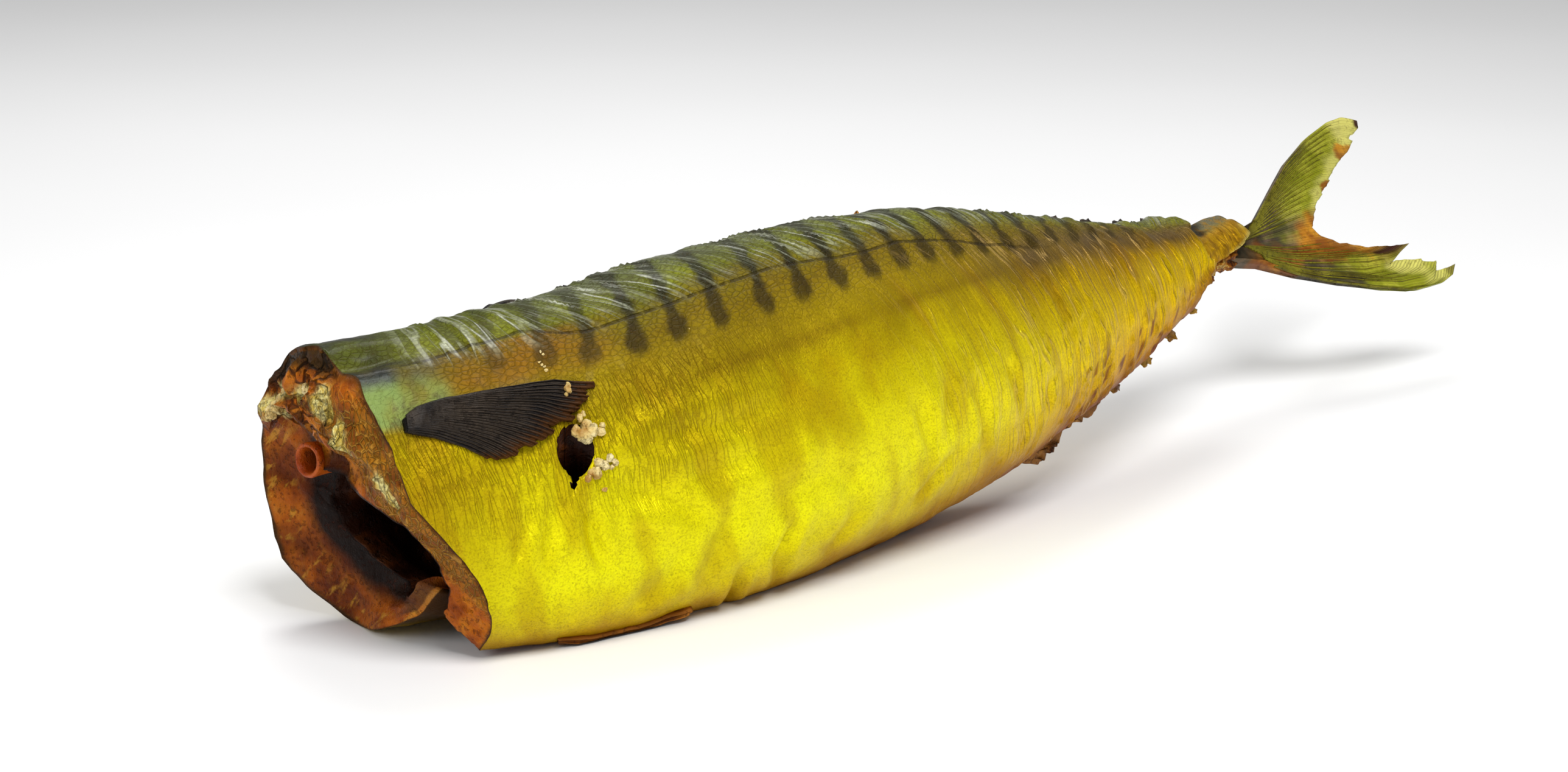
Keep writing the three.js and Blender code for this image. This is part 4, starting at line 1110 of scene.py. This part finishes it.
def along_line(line, share, stretch=1.0):
    """The place a share of the way along a line of points. stretch scales the second number to the first's unit."""
    line = np.array(line, float) * (1, stretch)
    run = np.concatenate([[0], np.cumsum(np.linalg.norm(np.diff(line, axis=0), axis=1))])
    return stacked(*(np.interp(share * run[-1], run, line[:, k]) for k in (0, 1)))


def fan_place(fin, u, v, stretch=1.0):
    """A place on a fin: u out along its rays, and v from its leading to its trailing edge."""
    leading, trailing = along_line(fin["leading"], u, stretch), along_line(fin["trailing"], u, stretch)
    first, last = along_line(fin["leading"], 1 + 0 * u, stretch), along_line(fin["trailing"], 1 + 0 * u, stretch)
    ruled = leading * (1 - v[..., None]) + trailing * v[..., None]
    pull = along_line(fin["margin"], v, stretch) - first * (1 - v[..., None]) - last * v[..., None]
    return ruled + pull * (u**1.6)[..., None]


def grid_of(u_count, v_count):
    return np.meshgrid(np.linspace(0, 1, u_count), np.linspace(0, 1, v_count), indexing="ij")


def closed_sheet(over, under):
    """The points and faces of a closed sheet between two grids of points."""
    rows, columns = over.shape[:2]
    top = np.arange(rows * columns).reshape(rows, columns)
    low = top + rows * columns
    edge = [(0, j) for j in range(columns)] + [(i, columns - 1) for i in range(1, rows)]
    edge += [(rows - 1, j) for j in range(columns - 2, -1, -1)] + [(i, 0) for i in range(rows - 2, 0, -1)]
    walls = [(top[a], low[a], low[b], top[b]) for a, b in zip(edge, edge[1:] + edge[:1])]
    faces = np.vstack([quads(top), quads(low), np.array(walls)])
    return np.vstack([over.reshape(-1, 3), under.reshape(-1, 3)]), [tuple(f) for f in faces.tolist()]


def skin_rest(at, turn):
    """How far the finished skin stands off its plain form at a place."""
    return skin_lift(at, turn, skin_point(at, turn))[0]


def ragged_out(u, v, seed, deep, count):
    """u, cut back by a different length at each ray, so that the margin is ragged."""
    ray = np.floor(v * count)
    frayed = grain(stacked(ray * 1.37, 0 * ray), 1, seed=seed) * 0.7 + 0.5 * grain(stacked(v * count, 0 * v), 1.4, seed=seed + 1)
    return u * (1 - deep * np.clip(0.4 + frayed, 0, 1.2) * rise(0.3, 1, u))


def lying_fin(name, fin, side, lift, thickness, count, materials, seed, deep=0.08, floor_at=0.0):
    """A fin pressed on the skin, with its web ridged over its rays, and the lines that its rays follow."""
    u, v = grid_of(46, count * 6 + 1)
    place = fan_place(fin, ragged_out(u, v, seed, deep, count), v, ACROSS)
    at, turn = place[..., 0], side * place[..., 1] / ACROSS
    rest = skin_rest(at, turn) + lift * (1 - 0.35 * u) + 0.5 * rise(0.75, 1, u) * (0.5 + grain(stacked(at, turn * ACROSS), 5, seed=seed + 2))
    ridge = 0.16 * np.cos(2 * np.pi * v * count) * rise(0.02, 0.15, u) + 0.35 * grain(stacked(v * 22, u * 2.2), 1, seed=seed + 3) * u
    thick = thickness * (1 - 0.45 * u) * np.minimum(1, 0.25 + 6 * np.minimum(v, 1 - v)) * np.minimum(1, 0.35 + 5 * u)
    over = over_table(skin_point(at, turn, rest + thick + ridge), floor_at + 0.5)
    under = over_table(skin_point(at, turn, rest - 0.5), floor_at)
    points, faces = closed_sheet(over, under)
    piece = mesh_piece(name, points, faces, materials, None, {"out": np.tile(u.ravel(), 2)}, np.tile(stacked(u, v).reshape(-1, 2), (2, 1)))
    return piece, over


def tail_point(out, spread, off):
    root = on_axis(float(BODY_LENGTH))
    return root + TAIL_AXIS * out[..., None] + TAIL_SPREAD * spread[..., None] + TAIL_ACROSS * np.asarray(off)[..., None]


TAIL_RAYS = 15  # in each lobe


def build_tail():
    """The web of the tail fin: two lobes, v from the upper leading edge over the fork to the lower leading edge."""
    u, v = grid_of(70, 2 * TAIL_RAYS * 5 + 1)
    lobe_v = np.where(v < 0.5, v * 2, (1 - v) * 2)
    frayed = ragged_out(u, lobe_v + 3 * (v >= 0.5), 81, 0.02, TAIL_RAYS)
    place = np.where((v < 0.5)[..., None], fan_place(TAIL_UPPER, frayed, lobe_v), fan_place(TAIL_LOWER, frayed, lobe_v))
    out, spread = place[..., 0], place[..., 1]
    here = stacked(out, spread)
    bend = 0.9 * grain(here, 22, seed=82) * rise(5, 30, out) + 0.35 * grain(here, 6, seed=83, octaves=2) * rise(0.5, 1, u)
    bend -= 1.2 * rise(55, 71, out) * (v < 0.5)
    fold = -0.7 * bump(v, 0.5, 0.05) * rise(26, 12, out)
    ridge = 0.13 * np.cos(2 * np.pi * lobe_v * TAIL_RAYS) * rise(8, 18, out)
    thick = 0.35 + 1.3 * rise(22, 0, out) + 0.5 * rise(0.12, 0, lobe_v) * rise(0.9, 0.6, u)
    thick = thick * (1 - 0.4 * rise(0.85, 1, u))
    over = tail_point(out, spread, bend + fold + thick + ridge + 0.2 * grain(here, 3, seed=84) * rise(20, 5, out))
    under = tail_point(out, spread, bend - (thick + ridge))
    near_tip = np.hypot(out - 70.2, spread - 24.2)
    wander = 2.5 * grain(here, 5, seed=85, octaves=3)
    burn = rise(2.2, 1.0, near_tip + 0.5 * wander) + rise(0.72, 0.86, u + 0.03 * wander) * bump(lobe_v, 0.62, 0.1) * (v > 0.5) * rise(36, 44, out)
    burn += rise(3.0, 1.5, np.hypot(out - 70, spread + 19.5) + 0.6 * wander) * 0.6
    stain = rise(4.6, 3.4, np.hypot((out - 56.8) * 0.9, (spread - 16.2) * 1.15) + 0.6 * wander) + rise(2.8, 1.6, np.hypot(out - 43.5, spread - 8) + wander)
    stain += rise(9, 4, np.hypot((out - 33) * 0.7, spread + 4) + wander) + bump(lobe_v, 0.75, 0.18) * (v > 0.5) * rise(0.55, 0.9, u)
    stain += rise(11, 5, np.hypot(out - 12, (spread + 6) * 1.6) + 1.5 * wander) * 0.8
    root = rise(29, 17, out + 1.5 * wander + 5 * (v < 0.5) * rise(0.0, 0.4, lobe_v) - 0.8 * np.abs(spread))
    root = np.maximum(root, bump(spread, 1.2, 3.2) * rise(34, 26, out) * (v < 0.5) * 0.9)
    pale = rise(7, 3, np.hypot(out - 62, spread - 23.5) + wander) + rise(0.86, 1, u + 0.03 * wander) * 0.8
    points, faces = closed_sheet(over, under)
    values = {"burn": burn, "stain": stain, "root": root, "pale": pale, "out": u}
    masks = {name: np.tile(np.clip(value, 0, 1).ravel(), 2) for name, value in values.items()}
    where = np.tile(stacked(u, np.where(v < 0.5, v, v)).reshape(-1, 2), (2, 1))
    piece = mesh_piece("tail_fin_web", points, faces, [TAIL_WEB], None, masks, where)
    return piece, over, lobe_v


def standing_fin(name, start, end, turn, tallest, sweep, materials, seed, thick=0.45):
    """A torn fin standing along a line of the skin."""
    u, v = grid_of(60, 9)
    spike = np.clip(0.45 + 0.75 * grain(stacked(u * 14, 0 * u), 1, seed=seed, octaves=3), 0.08, 1.2)
    tall = tallest * np.interp(u, [0, 0.12, 0.3, 1], [0.35, 1, 0.6, 0.3]) * spike
    at = start + (end - start) * u + sweep * v * (1 - 0.4 * u)
    base = skin_rest(at, turn + 0 * at) - 0.8
    middle = skin_point(at, turn + 0 * at, base + (tall + 0.8) * v)
    left = section_ways(at)[1]
    half = thick * (1 - 0.6 * v) * np.minimum(1, 0.3 + 8 * np.minimum(u, 1 - u))
    sway = 0.5 * grain(stacked(u * 9, v), 1, seed=seed + 1) * v
    over = over_table(middle + left * (sway + half)[..., None], 0.05)
    under = over_table(middle + left * (sway - half)[..., None], 0.0)
    points, faces = closed_sheet(over, under)
    return mesh_piece(name, points, faces, materials, None, {"out": np.tile(v.ravel(), 2)}, np.tile(stacked(v, u).reshape(-1, 2), (2, 1)))


# ---------------------------------------------------------------- what repeats: rays, finlets and crumbs


def geometry_tree(name, inputs):
    """A new geometry tree with a Geometry input and output, and its named inputs: socket type and value."""
    tree = bpy.data.node_groups.new(name, "GeometryNodeTree")
    tree.interface.new_socket("Geometry", in_out="INPUT", socket_type="NodeSocketGeometry")
    tree.interface.new_socket("Geometry", in_out="OUTPUT", socket_type="NodeSocketGeometry")
    for socket, (kind, value) in inputs.items():
        made = tree.interface.new_socket(socket, in_out="INPUT", socket_type="NodeSocket" + kind)
        if value is not None:
            made.default_value = value
    return tree, tree.nodes.new("NodeGroupInput"), tree.nodes.new("NodeGroupOutput")


def named(tree, attribute, kind="FLOAT"):
    return add_node(tree, "GeometryNodeInputNamedAttribute", {"Name": attribute}, data_type=kind).outputs[0]


def finished(tree, result, geometry, material):
    """Ends a tree: instances made real, smooth faces, and the material."""
    real = add_node(tree, "GeometryNodeRealizeInstances", {"Geometry": geometry}).outputs[0]
    smooth = add_node(tree, "GeometryNodeSetShadeSmooth", {"Geometry": real}).outputs[0]
    coated = add_node(tree, "GeometryNodeSetMaterial", {"Geometry": smooth, "Material": material}).outputs[0]
    tree.links.new(coated, result.inputs[0])


def rough_offset(tree, geometry, size, strength):
    """Moves each point a little, along a random way that changes over the given size."""
    place = add_node(tree, "GeometryNodeInputPosition").outputs[0]
    scale = calc(tree, "DIVIDE", 1.0, size)
    noisy = add_node(tree, "ShaderNodeTexNoise", {"Vector": place, "Scale": scale, "Detail": 3.0}).outputs["Color"]
    centred = add_node(tree, "ShaderNodeVectorMath", {0: noisy, 1: (0.5, 0.5, 0.5)}, operation="SUBTRACT").outputs[0]
    off = add_node(tree, "ShaderNodeVectorMath", {0: centred, "Scale": strength}, operation="SCALE").outputs[0]
    return add_node(tree, "GeometryNodeSetPosition", {"Geometry": geometry, "Offset": off}).outputs[0]


def rays_tree():
    """Tapering rods along lines whose points carry their radius."""
    tree, given, result = geometry_tree("fin_rays", {"Sides": ("Int", 6), "Thickness": ("Float", 1.0), "Finish": ("Material", None)})
    lines = add_node(tree, "GeometryNodeMeshToCurve", {"Mesh": given.outputs["Geometry"]}).outputs[0]
    ring = add_node(tree, "GeometryNodeCurvePrimitiveCircle", {"Resolution": given.outputs["Sides"], "Radius": 1.0}).outputs[0]
    scale = calc(tree, "MULTIPLY", named(tree, "radius_here"), given.outputs["Thickness"])
    rods = add_node(tree, "GeometryNodeCurveToMesh", {"Curve": lines, "Profile Curve": ring, "Scale": scale, "Fill Caps": True}).outputs[0]
    finished(tree, result, rods, given.outputs["Finish"])
    return tree


def finlets_tree():
    """One finlet blade at each point, turned and sized as the point says, and torn a little."""
    inputs = {"Blade": ("Object", None), "Tear": ("Float", 0.0012), "Tear Size": ("Float", 0.0022), "Finish": ("Material", None)}
    tree, given, result = geometry_tree("finlet_row", inputs)
    blade = add_node(tree, "GeometryNodeObjectInfo", {"Object": given.outputs["Blade"]}).outputs["Geometry"]
    points = add_node(tree, "GeometryNodeMeshToPoints", {"Mesh": given.outputs["Geometry"]}).outputs[0]
    settings = {"Points": points, "Instance": blade, "Rotation": named(tree, "turned", "FLOAT_VECTOR"), "Scale": named(tree, "sized", "FLOAT_VECTOR")}
    placed = add_node(tree, "GeometryNodeInstanceOnPoints", settings).outputs[0]
    real = add_node(tree, "GeometryNodeRealizeInstances", {"Geometry": placed}).outputs[0]
    torn = rough_offset(tree, real, given.outputs["Tear Size"], given.outputs["Tear"])
    finished(tree, result, torn, given.outputs["Finish"])
    return tree


def crumbs_tree():
    """A rough lump at each point, as large as the point says."""
    inputs = {"Seed": ("Int", 5), "Roughness": ("Float", 0.0011), "Lump Size": ("Float", 0.0009), "Finish": ("Material", None)}
    tree, given, result = geometry_tree("curd_crumbs", inputs)
    ball = add_node(tree, "GeometryNodeMeshIcoSphere", {"Radius": 1.0, "Subdivisions": 4}).outputs[0]
    points = add_node(tree, "GeometryNodeMeshToPoints", {"Mesh": given.outputs["Geometry"]}).outputs[0]
    spin = add_node(tree, "FunctionNodeRandomValue", {"Min": (0, 0, 0), "Max": (6.28, 6.28, 6.28), "Seed": given.outputs["Seed"]}, data_type="FLOAT_VECTOR").outputs[0]
    settings = {"Points": points, "Instance": ball, "Rotation": spin, "Scale": named(tree, "sized", "FLOAT_VECTOR")}
    placed = add_node(tree, "GeometryNodeInstanceOnPoints", settings).outputs[0]
    real = add_node(tree, "GeometryNodeRealizeInstances", {"Geometry": placed}).outputs[0]
    lumpy = rough_offset(tree, real, given.outputs["Lump Size"], given.outputs["Roughness"])
    finished(tree, result, lumpy, given.outputs["Finish"])
    return tree


def grown(name, seeds, tree, **values):
    """Runs a geometry tree on a mesh of seeds, and returns the result as a plain mesh piece."""
    modifier = seeds.modifiers.new(tree.name, "NODES")
    modifier.node_group = tree
    for socket in tree.interface.items_tree:
        key = getattr(socket, "name", "").replace(" ", "_").lower()
        if getattr(socket, "in_out", "") == "INPUT" and key in values:
            modifier[socket.identifier] = values[key]
    graph = bpy.context.evaluated_depsgraph_get()
    graph.update()
    mesh = bpy.data.meshes.new_from_object(seeds.evaluated_get(graph), depsgraph=graph)
    bpy.data.objects.remove(seeds)
    mesh.name = name
    piece = bpy.data.objects.new(name, mesh)
    bpy.context.collection.objects.link(piece)
    return piece


def seed_points(name, points, edges=(), **attributes):
    """Points in millimetres, with edges between them and attributes, for a geometry tree to grow from."""
    mesh = bpy.data.meshes.new(name)
    mesh.from_pydata((np.asarray(points) / 1000).tolist(), [tuple(e) for e in edges], [])
    for attribute, values in attributes.items():
        values = np.asarray(values, np.float32)
        if values.ndim == 2:
            mesh.attributes.new(attribute, "FLOAT_VECTOR", "POINT").data.foreach_set("vector", values.ravel())
        else:
            mesh.attributes.new(attribute, "FLOAT", "POINT").data.foreach_set("value", values)
    seeds = bpy.data.objects.new(name, mesh)
    bpy.context.collection.objects.link(seeds)
    return seeds


def fin_rays(name, surface, columns, thick, thin, start, end, material):
    """Rods along some columns of a fin's upper surface, sunk halfway into it."""
    rows = np.arange(int(start * (len(surface) - 1)), int(end * (len(surface) - 1)) + 1)
    points, edges, radii = [], [], []
    for column in columns:
        first = len(points)
        points.extend(surface[rows, column])
        radii.extend(np.linspace(thick, thin, len(rows)) / 1000)
        edges.extend((first + k, first + k + 1) for k in range(len(rows) - 1))
    seeds = seed_points(name + "_lines", points, edges, radius_here=radii)
    return grown(name, seeds, RAYS_TREE, sides=6, thickness=1.0, finish=material)


def finlet_blade():
    """One finlet, 1 long and 1 high, standing on its base along X."""
    u, v = grid_of(15, 9)
    high = v * np.interp(u, [0, 0.1, 0.3, 0.6, 0.8, 1], [0.5, 0.95, 1.25, 1.0, 1.15, 0.5])
    out = u + 0.3 * v + 0.05 * np.sin(u * 19)
    half = 0.07 * (1 - 0.65 * v) * np.minimum(1, 0.35 + 6 * np.minimum(u, 1 - u))
    low = 0.12 * (1 - v)
    points, faces = closed_sheet(stacked(out, half, high - low), stacked(out, -half, high - low))
    return mesh_piece("finlet_blade", points * 1000, faces, [], None, None, np.tile(stacked(v, u).reshape(-1, 2), (2, 1)))


def finlet_row(name, turn, longs, highs, material, blade):
    starts = 180.5 + 12 * np.arange(5)
    turns = np.full(5, float(turn))
    along, left, _ = section_ways(starts)
    base = skin_point(starts, turns, skin_rest(starts, turns) - 1.0)
    outward = unit(skin_point(starts, turns, 5.0) - skin_point(starts, turns, 0.0))
    turned = []
    for forward, away in zip(along, outward):
        across = unit(np.cross(away, forward))
        forward = np.cross(across, away)
        turned.append(Matrix((forward, across, away)).transposed().to_euler())
    sized = np.array([(long, 5.0, high) for long, high in zip(longs, highs)]) / 1000
    seeds = seed_points(name + "_roots", base, turned=turned, sized=sized)
    return grown(name, seeds, FINLETS_TREE, blade=blade, tear=0.0016, tear_size=0.0022, finish=material)


def crumbs(name, places, material, seed, roughness=0.0011):
    """Lumps at the given points, each with its radius in millimetres."""
    points = np.array([p for p, _ in places])
    radii = np.array([r for _, r in places])[:, None] * (1, 0.85, 0.7) / 1000
    seeds = seed_points(name + "_seeds", points, sized=radii)
    return grown(name, seeds, CRUMBS_TREE, seed=seed, roughness=roughness, lump_size=0.001, finish=material)

# ---------------------------------------------------------------- the pieces

points, faces, finish_of, masks, where = build_body()
body_piece = mesh_piece("fish_body", points, faces, [SKIN, FLESH, LINING], finish_of, masks, where)
settle(body_piece, "skin_and_flesh", "body")

RAYS_TREE, FINLETS_TREE, CRUMBS_TREE = rays_tree(), finlets_tree(), crumbs_tree()


def vertebra():
    """The end of the backbone in the cut face: a cup, turned a little to the left."""
    profile = [(16, 0), (16, 2.7), (3, 2.9), (0.4, 3.2), (-0.5, 3.3), (-0.9, 3.0), (-0.8, 2.6), (0.0, 2.25), (2.0, 1.9), (4.6, 1.5), (6.4, 0.8), (6.8, 0)]
    turns = np.linspace(0, 2 * np.pi, 48, endpoint=False)
    deep = np.array([p for p, _ in profile])[:, None] + 0 * turns
    wide = np.array([r for _, r in profile])[:, None] * (1 + 0 * turns)
    along, left, up = section_ways(0.0)
    facing = unit(along - 0.4 * left)
    across = unit(left + 0.4 * along)
    way = across * np.cos(turns)[:, None] + up * np.sin(turns)[:, None]
    middle = face_point(-3.0, 9.4, -0.8)
    places = middle + facing * deep[..., None] + way[None] * wide[..., None]
    places += 0.2 * way[None] * (np.minimum(1, wide) * grain(places, 2.4, seed=91, octaves=2))[..., None]
    index = np.arange(places[..., 0].size).reshape(places.shape[:2])
    index = np.hstack([index, index[:, :1]])
    hollow = np.repeat(rise(6.5, 8.5, np.arange(len(profile))), len(turns))
    return mesh_piece("backbone_end", places.reshape(-1, 3), [tuple(f) for f in quads(index).tolist()], [BONE_FINISH], None, {"hollow": hollow})


def face_point(left_by, up_by, behind):
    """A point of the cut face: so far left and up, and so far behind its plane."""
    along, left, up = section_ways(0.0)
    point = on_axis(0.0) + left * left_by + up * up_by
    origin, way = cut_plane(CUT)
    return point + along * (behind - (point - origin) @ way)


settle(vertebra(), "bone", "backbone")

pectoral_columns = range(3, 24 * 6, 6)
for name, side in (("pectoral_fin_left", 1), ("pectoral_fin_right", -1)):
    web, surface = lying_fin(name + "_web", PECTORAL, side, 0.5, 1.5, 24, [PECTORAL_WEB], 101, 0.07)
    settle(web, "dark_fin", name)
    settle(fin_rays(name + "_rays", surface, pectoral_columns, 0.3, 0.12, 0.03, 0.97, RAY_BONE), "dark_fin")
for name, side in (("pelvic_fin_left", 1), ("pelvic_fin_right", -1)):
    web, surface = lying_fin(name + "_web", PELVIC, side, 0.4, 1.0, 9, [PELVIC_WEB], 111, 0.12)
    settle(web, "brown_fin", name)
web, surface = lying_fin("first_dorsal_fin_web", FIRST_DORSAL, -1, 0.3, 1.0, 9, [DORSAL_WEB], 121, 0.12)
settle(web, "dark_fin", "first_dorsal_fin")
settle(fin_rays("first_dorsal_fin_rays", surface, range(3, 54, 6), 0.4, 0.12, 0.02, 0.97, RAY_BONE), "dark_fin")
settle(standing_fin("second_dorsal_fin_web", 124, 143, -0.035, 2.0, 5, [BROWN_FIN], 131), "dark_fin", "second_dorsal_fin")
settle(standing_fin("anal_fin_web", 149, 176, 0.488, 4.6, 6, [BROWN_FIN], 141), "brown_fin", "anal_fin")

tail, tail_surface, lobe_v = build_tail()
settle(tail, "tail_fin", "tail_fin")
tail_columns = [c for c in range(2, lobe_v.shape[1] - 2, 5) if abs(c - (lobe_v.shape[1] // 2)) > 3]
settle(fin_rays("tail_fin_rays", tail_surface, tail_columns, 0.34, 0.1, 0.2, 0.86, TAIL_RAY), "tail_fin")

blade = finlet_blade()
for name, turn, longs, highs, finish, slot in (
    ("dorsal_finlet", 0.0, (6, 6, 6, 5.5, 5), (2.2, 2.2, 2.0, 1.8, 1.6), DARK_FIN, "dark_fin"),
    ("anal_finlet", 0.5, (4.6, 5, 4.6, 3.6, 3.4), (1.5, 1.6, 2.0, 1.2, 1.8), RAGGED_FIN, "brown_fin"),
):
    row = finlet_row(name + "s", turn, longs, highs, finish, blade)
    settle(row, slot, *(f"{name}_{k + 1}" for k in range(5)))
bpy.data.objects.remove(blade)


def on_skin(at, turn, lift):
    at, turn = np.array(float(at)), np.array(float(turn))
    return skin_point(at, turn, skin_rest(at, turn) + lift)


CURDS = [
    (38.6, 0.2135, 0.4, 1.5), (40.2, 0.211, 0.6, 1.3), (37.4, 0.209, 0.5, 1.1), (39.4, 0.206, 0.5, 1.2), (41.6, 0.214, 0.5, 0.9),
    (39.2, 0.217, 0.2, 1.0), (42.2, 0.209, 0.5, 0.7), (38.4, 0.199, 1.3, 0.7), (39.0, 0.1965, 1.4, 0.5), (38.0, 0.247, 0.2, 0.8),
    (39.6, 0.2445, 0.3, 1.2), (41.4, 0.241, 0.3, 1.0), (40.4, 0.2375, 0.2, 1.0), (42.4, 0.236, 0.2, 0.8), (43.2, 0.24, 0.2, 0.7), (38.8, 0.2435, 0.1, 0.7), (42.6, 0.243, 0.2, 0.5), (40.6, 0.2545, 0.2, 0.5),
    (37.6, 0.172, 1.6, 0.85), (37.9, 0.1685, 1.7, 0.55), (37.0, 0.176, 1.5, 0.4), (35.4, 0.145, 0.1, 0.3), (35.3, 0.141, 0.1, 0.28),
    (35.0, 0.1375, 0.1, 0.24), (34.8, 0.1345, 0.1, 0.24), (35.9, 0.1265, 0.1, 0.3), (35.6, 0.1235, 0.1, 0.22), (64.5, 0.148, 0.0, 0.18),
]
settle(crumbs("curds_at_tear", [(on_skin(at, turn, lift), size) for at, turn, lift, size in CURDS], CURD, 5), "skin_and_flesh")

BONE_BITS = [
    (-16.5, 17.4, -0.6, 1.5), (-14.2, 17.8, -0.9, 1.5), (-12, 18.6, -0.9, 1.4), (-9.8, 20, -0.7, 1.2), (-7.8, 21.8, -0.5, 1.1),
    (-6.4, 23.4, -0.3, 0.9), (0, 21.8, -0.6, 1.3), (2, 21, -0.6, 1.5), (3.6, 20.2, -0.4, 1.0), (1.2, 19.6, -0.3, 0.8),
]
settle(crumbs("bone_bits", [(face_point(*spot[:3]), spot[3]) for spot in BONE_BITS], CURD, 8, 0.0022), "bone")

# The crumbs lie on the curled flap: how far left, how far over the flap, how far behind the cut, and the size of each.
CRUMB_PLACES = np.random.default_rng(12).uniform((-3, 0.6, 15, 0.5), (10.5, 1.6, 25, 1.25), (26, 4))
CAVITY_CRUMBS = [
    (left, np.interp(left, CURL["left"], CURL["up"]) + FLAP_THICK + over, behind, size)
    for left, over, behind, size in CRUMB_PLACES
]
settle(crumbs("cavity_crumbs", [(face_point(*spot[:3]), spot[3]) for spot in CAVITY_CRUMBS], CRUMB, 9, 0.0016), "skin_and_flesh")

# ---------------------------------------------------------------- the camera, the floor and the light

AIM = Vector((-0.0526, -0.0003, 0.030))


def direction(azimuth, elevation):
    """From the fish towards a place that far round from straight in front of its left flank, and that high."""
    a, e = math.radians(azimuth), math.radians(elevation)
    return Vector((math.sin(a) * math.cos(e), -math.cos(a) * math.cos(e), math.sin(e)))


def looking_at_fish(thing, name, way, distance, aim=AIM):
    made = bpy.data.objects.new(name, thing)
    made.location = aim + way * distance
    made.rotation_euler = (-way).to_track_quat("-Z", "Y").to_euler()
    bpy.context.collection.objects.link(made)
    return made


lens = bpy.data.cameras.new("camera")
lens.lens, lens.sensor_width, lens.clip_start = 66.66, 36.0, 0.01
bpy.context.scene.camera = looking_at_fish(lens, "camera", direction(-36, 15), 0.570)

LIGHTS = [
    # name, azimuth, elevation, distance, size, power in watts
    ("front_softbox", -20, 56, 0.9, 0.42, 6.8),
    ("left_softbox", -75, 28, 0.9, 0.4, 1.7),
    ("rear_softbox", 160, 60, 0.9, 0.5, 3.6),
]
for name, azimuth, elevation, distance, size, power_in_watts in LIGHTS:
    lamp = bpy.data.lights.new(name, "AREA")
    lamp.shape, lamp.size, lamp.energy = "DISK", size, power_in_watts
    looking_at_fish(lamp, name, direction(azimuth, elevation), distance, Vector((0, 0, 0.03)))

world = bpy.data.worlds.new("studio")
world.use_nodes = True
sky = world.node_tree.nodes["Background"]
sky.inputs["Color"].default_value = (1, 1, 1, 1)
seen = add_node(world.node_tree, "ShaderNodeLightPath").outputs["Is Camera Ray"]
strength = add_node(world.node_tree, "ShaderNodeMapRange", {"Value": seen, "To Min": 0.3, "To Max": 1.0}).outputs["Result"]
world.node_tree.links.new(strength, sky.inputs["Strength"])
bpy.context.scene.world = world
bpy.context.scene.view_settings.view_transform = "Standard"

floor_mesh = bpy.data.meshes.new("floor")
floor_mesh.from_pydata([(-3, -3, 0), (3, -3, 0), (3, 3, 0), (-3, 3, 0)], [], [(0, 1, 2, 3)])
floor_mesh.materials.append(floor_material())
floor = bpy.data.objects.new("floor", floor_mesh)
bpy.context.collection.objects.link(floor)
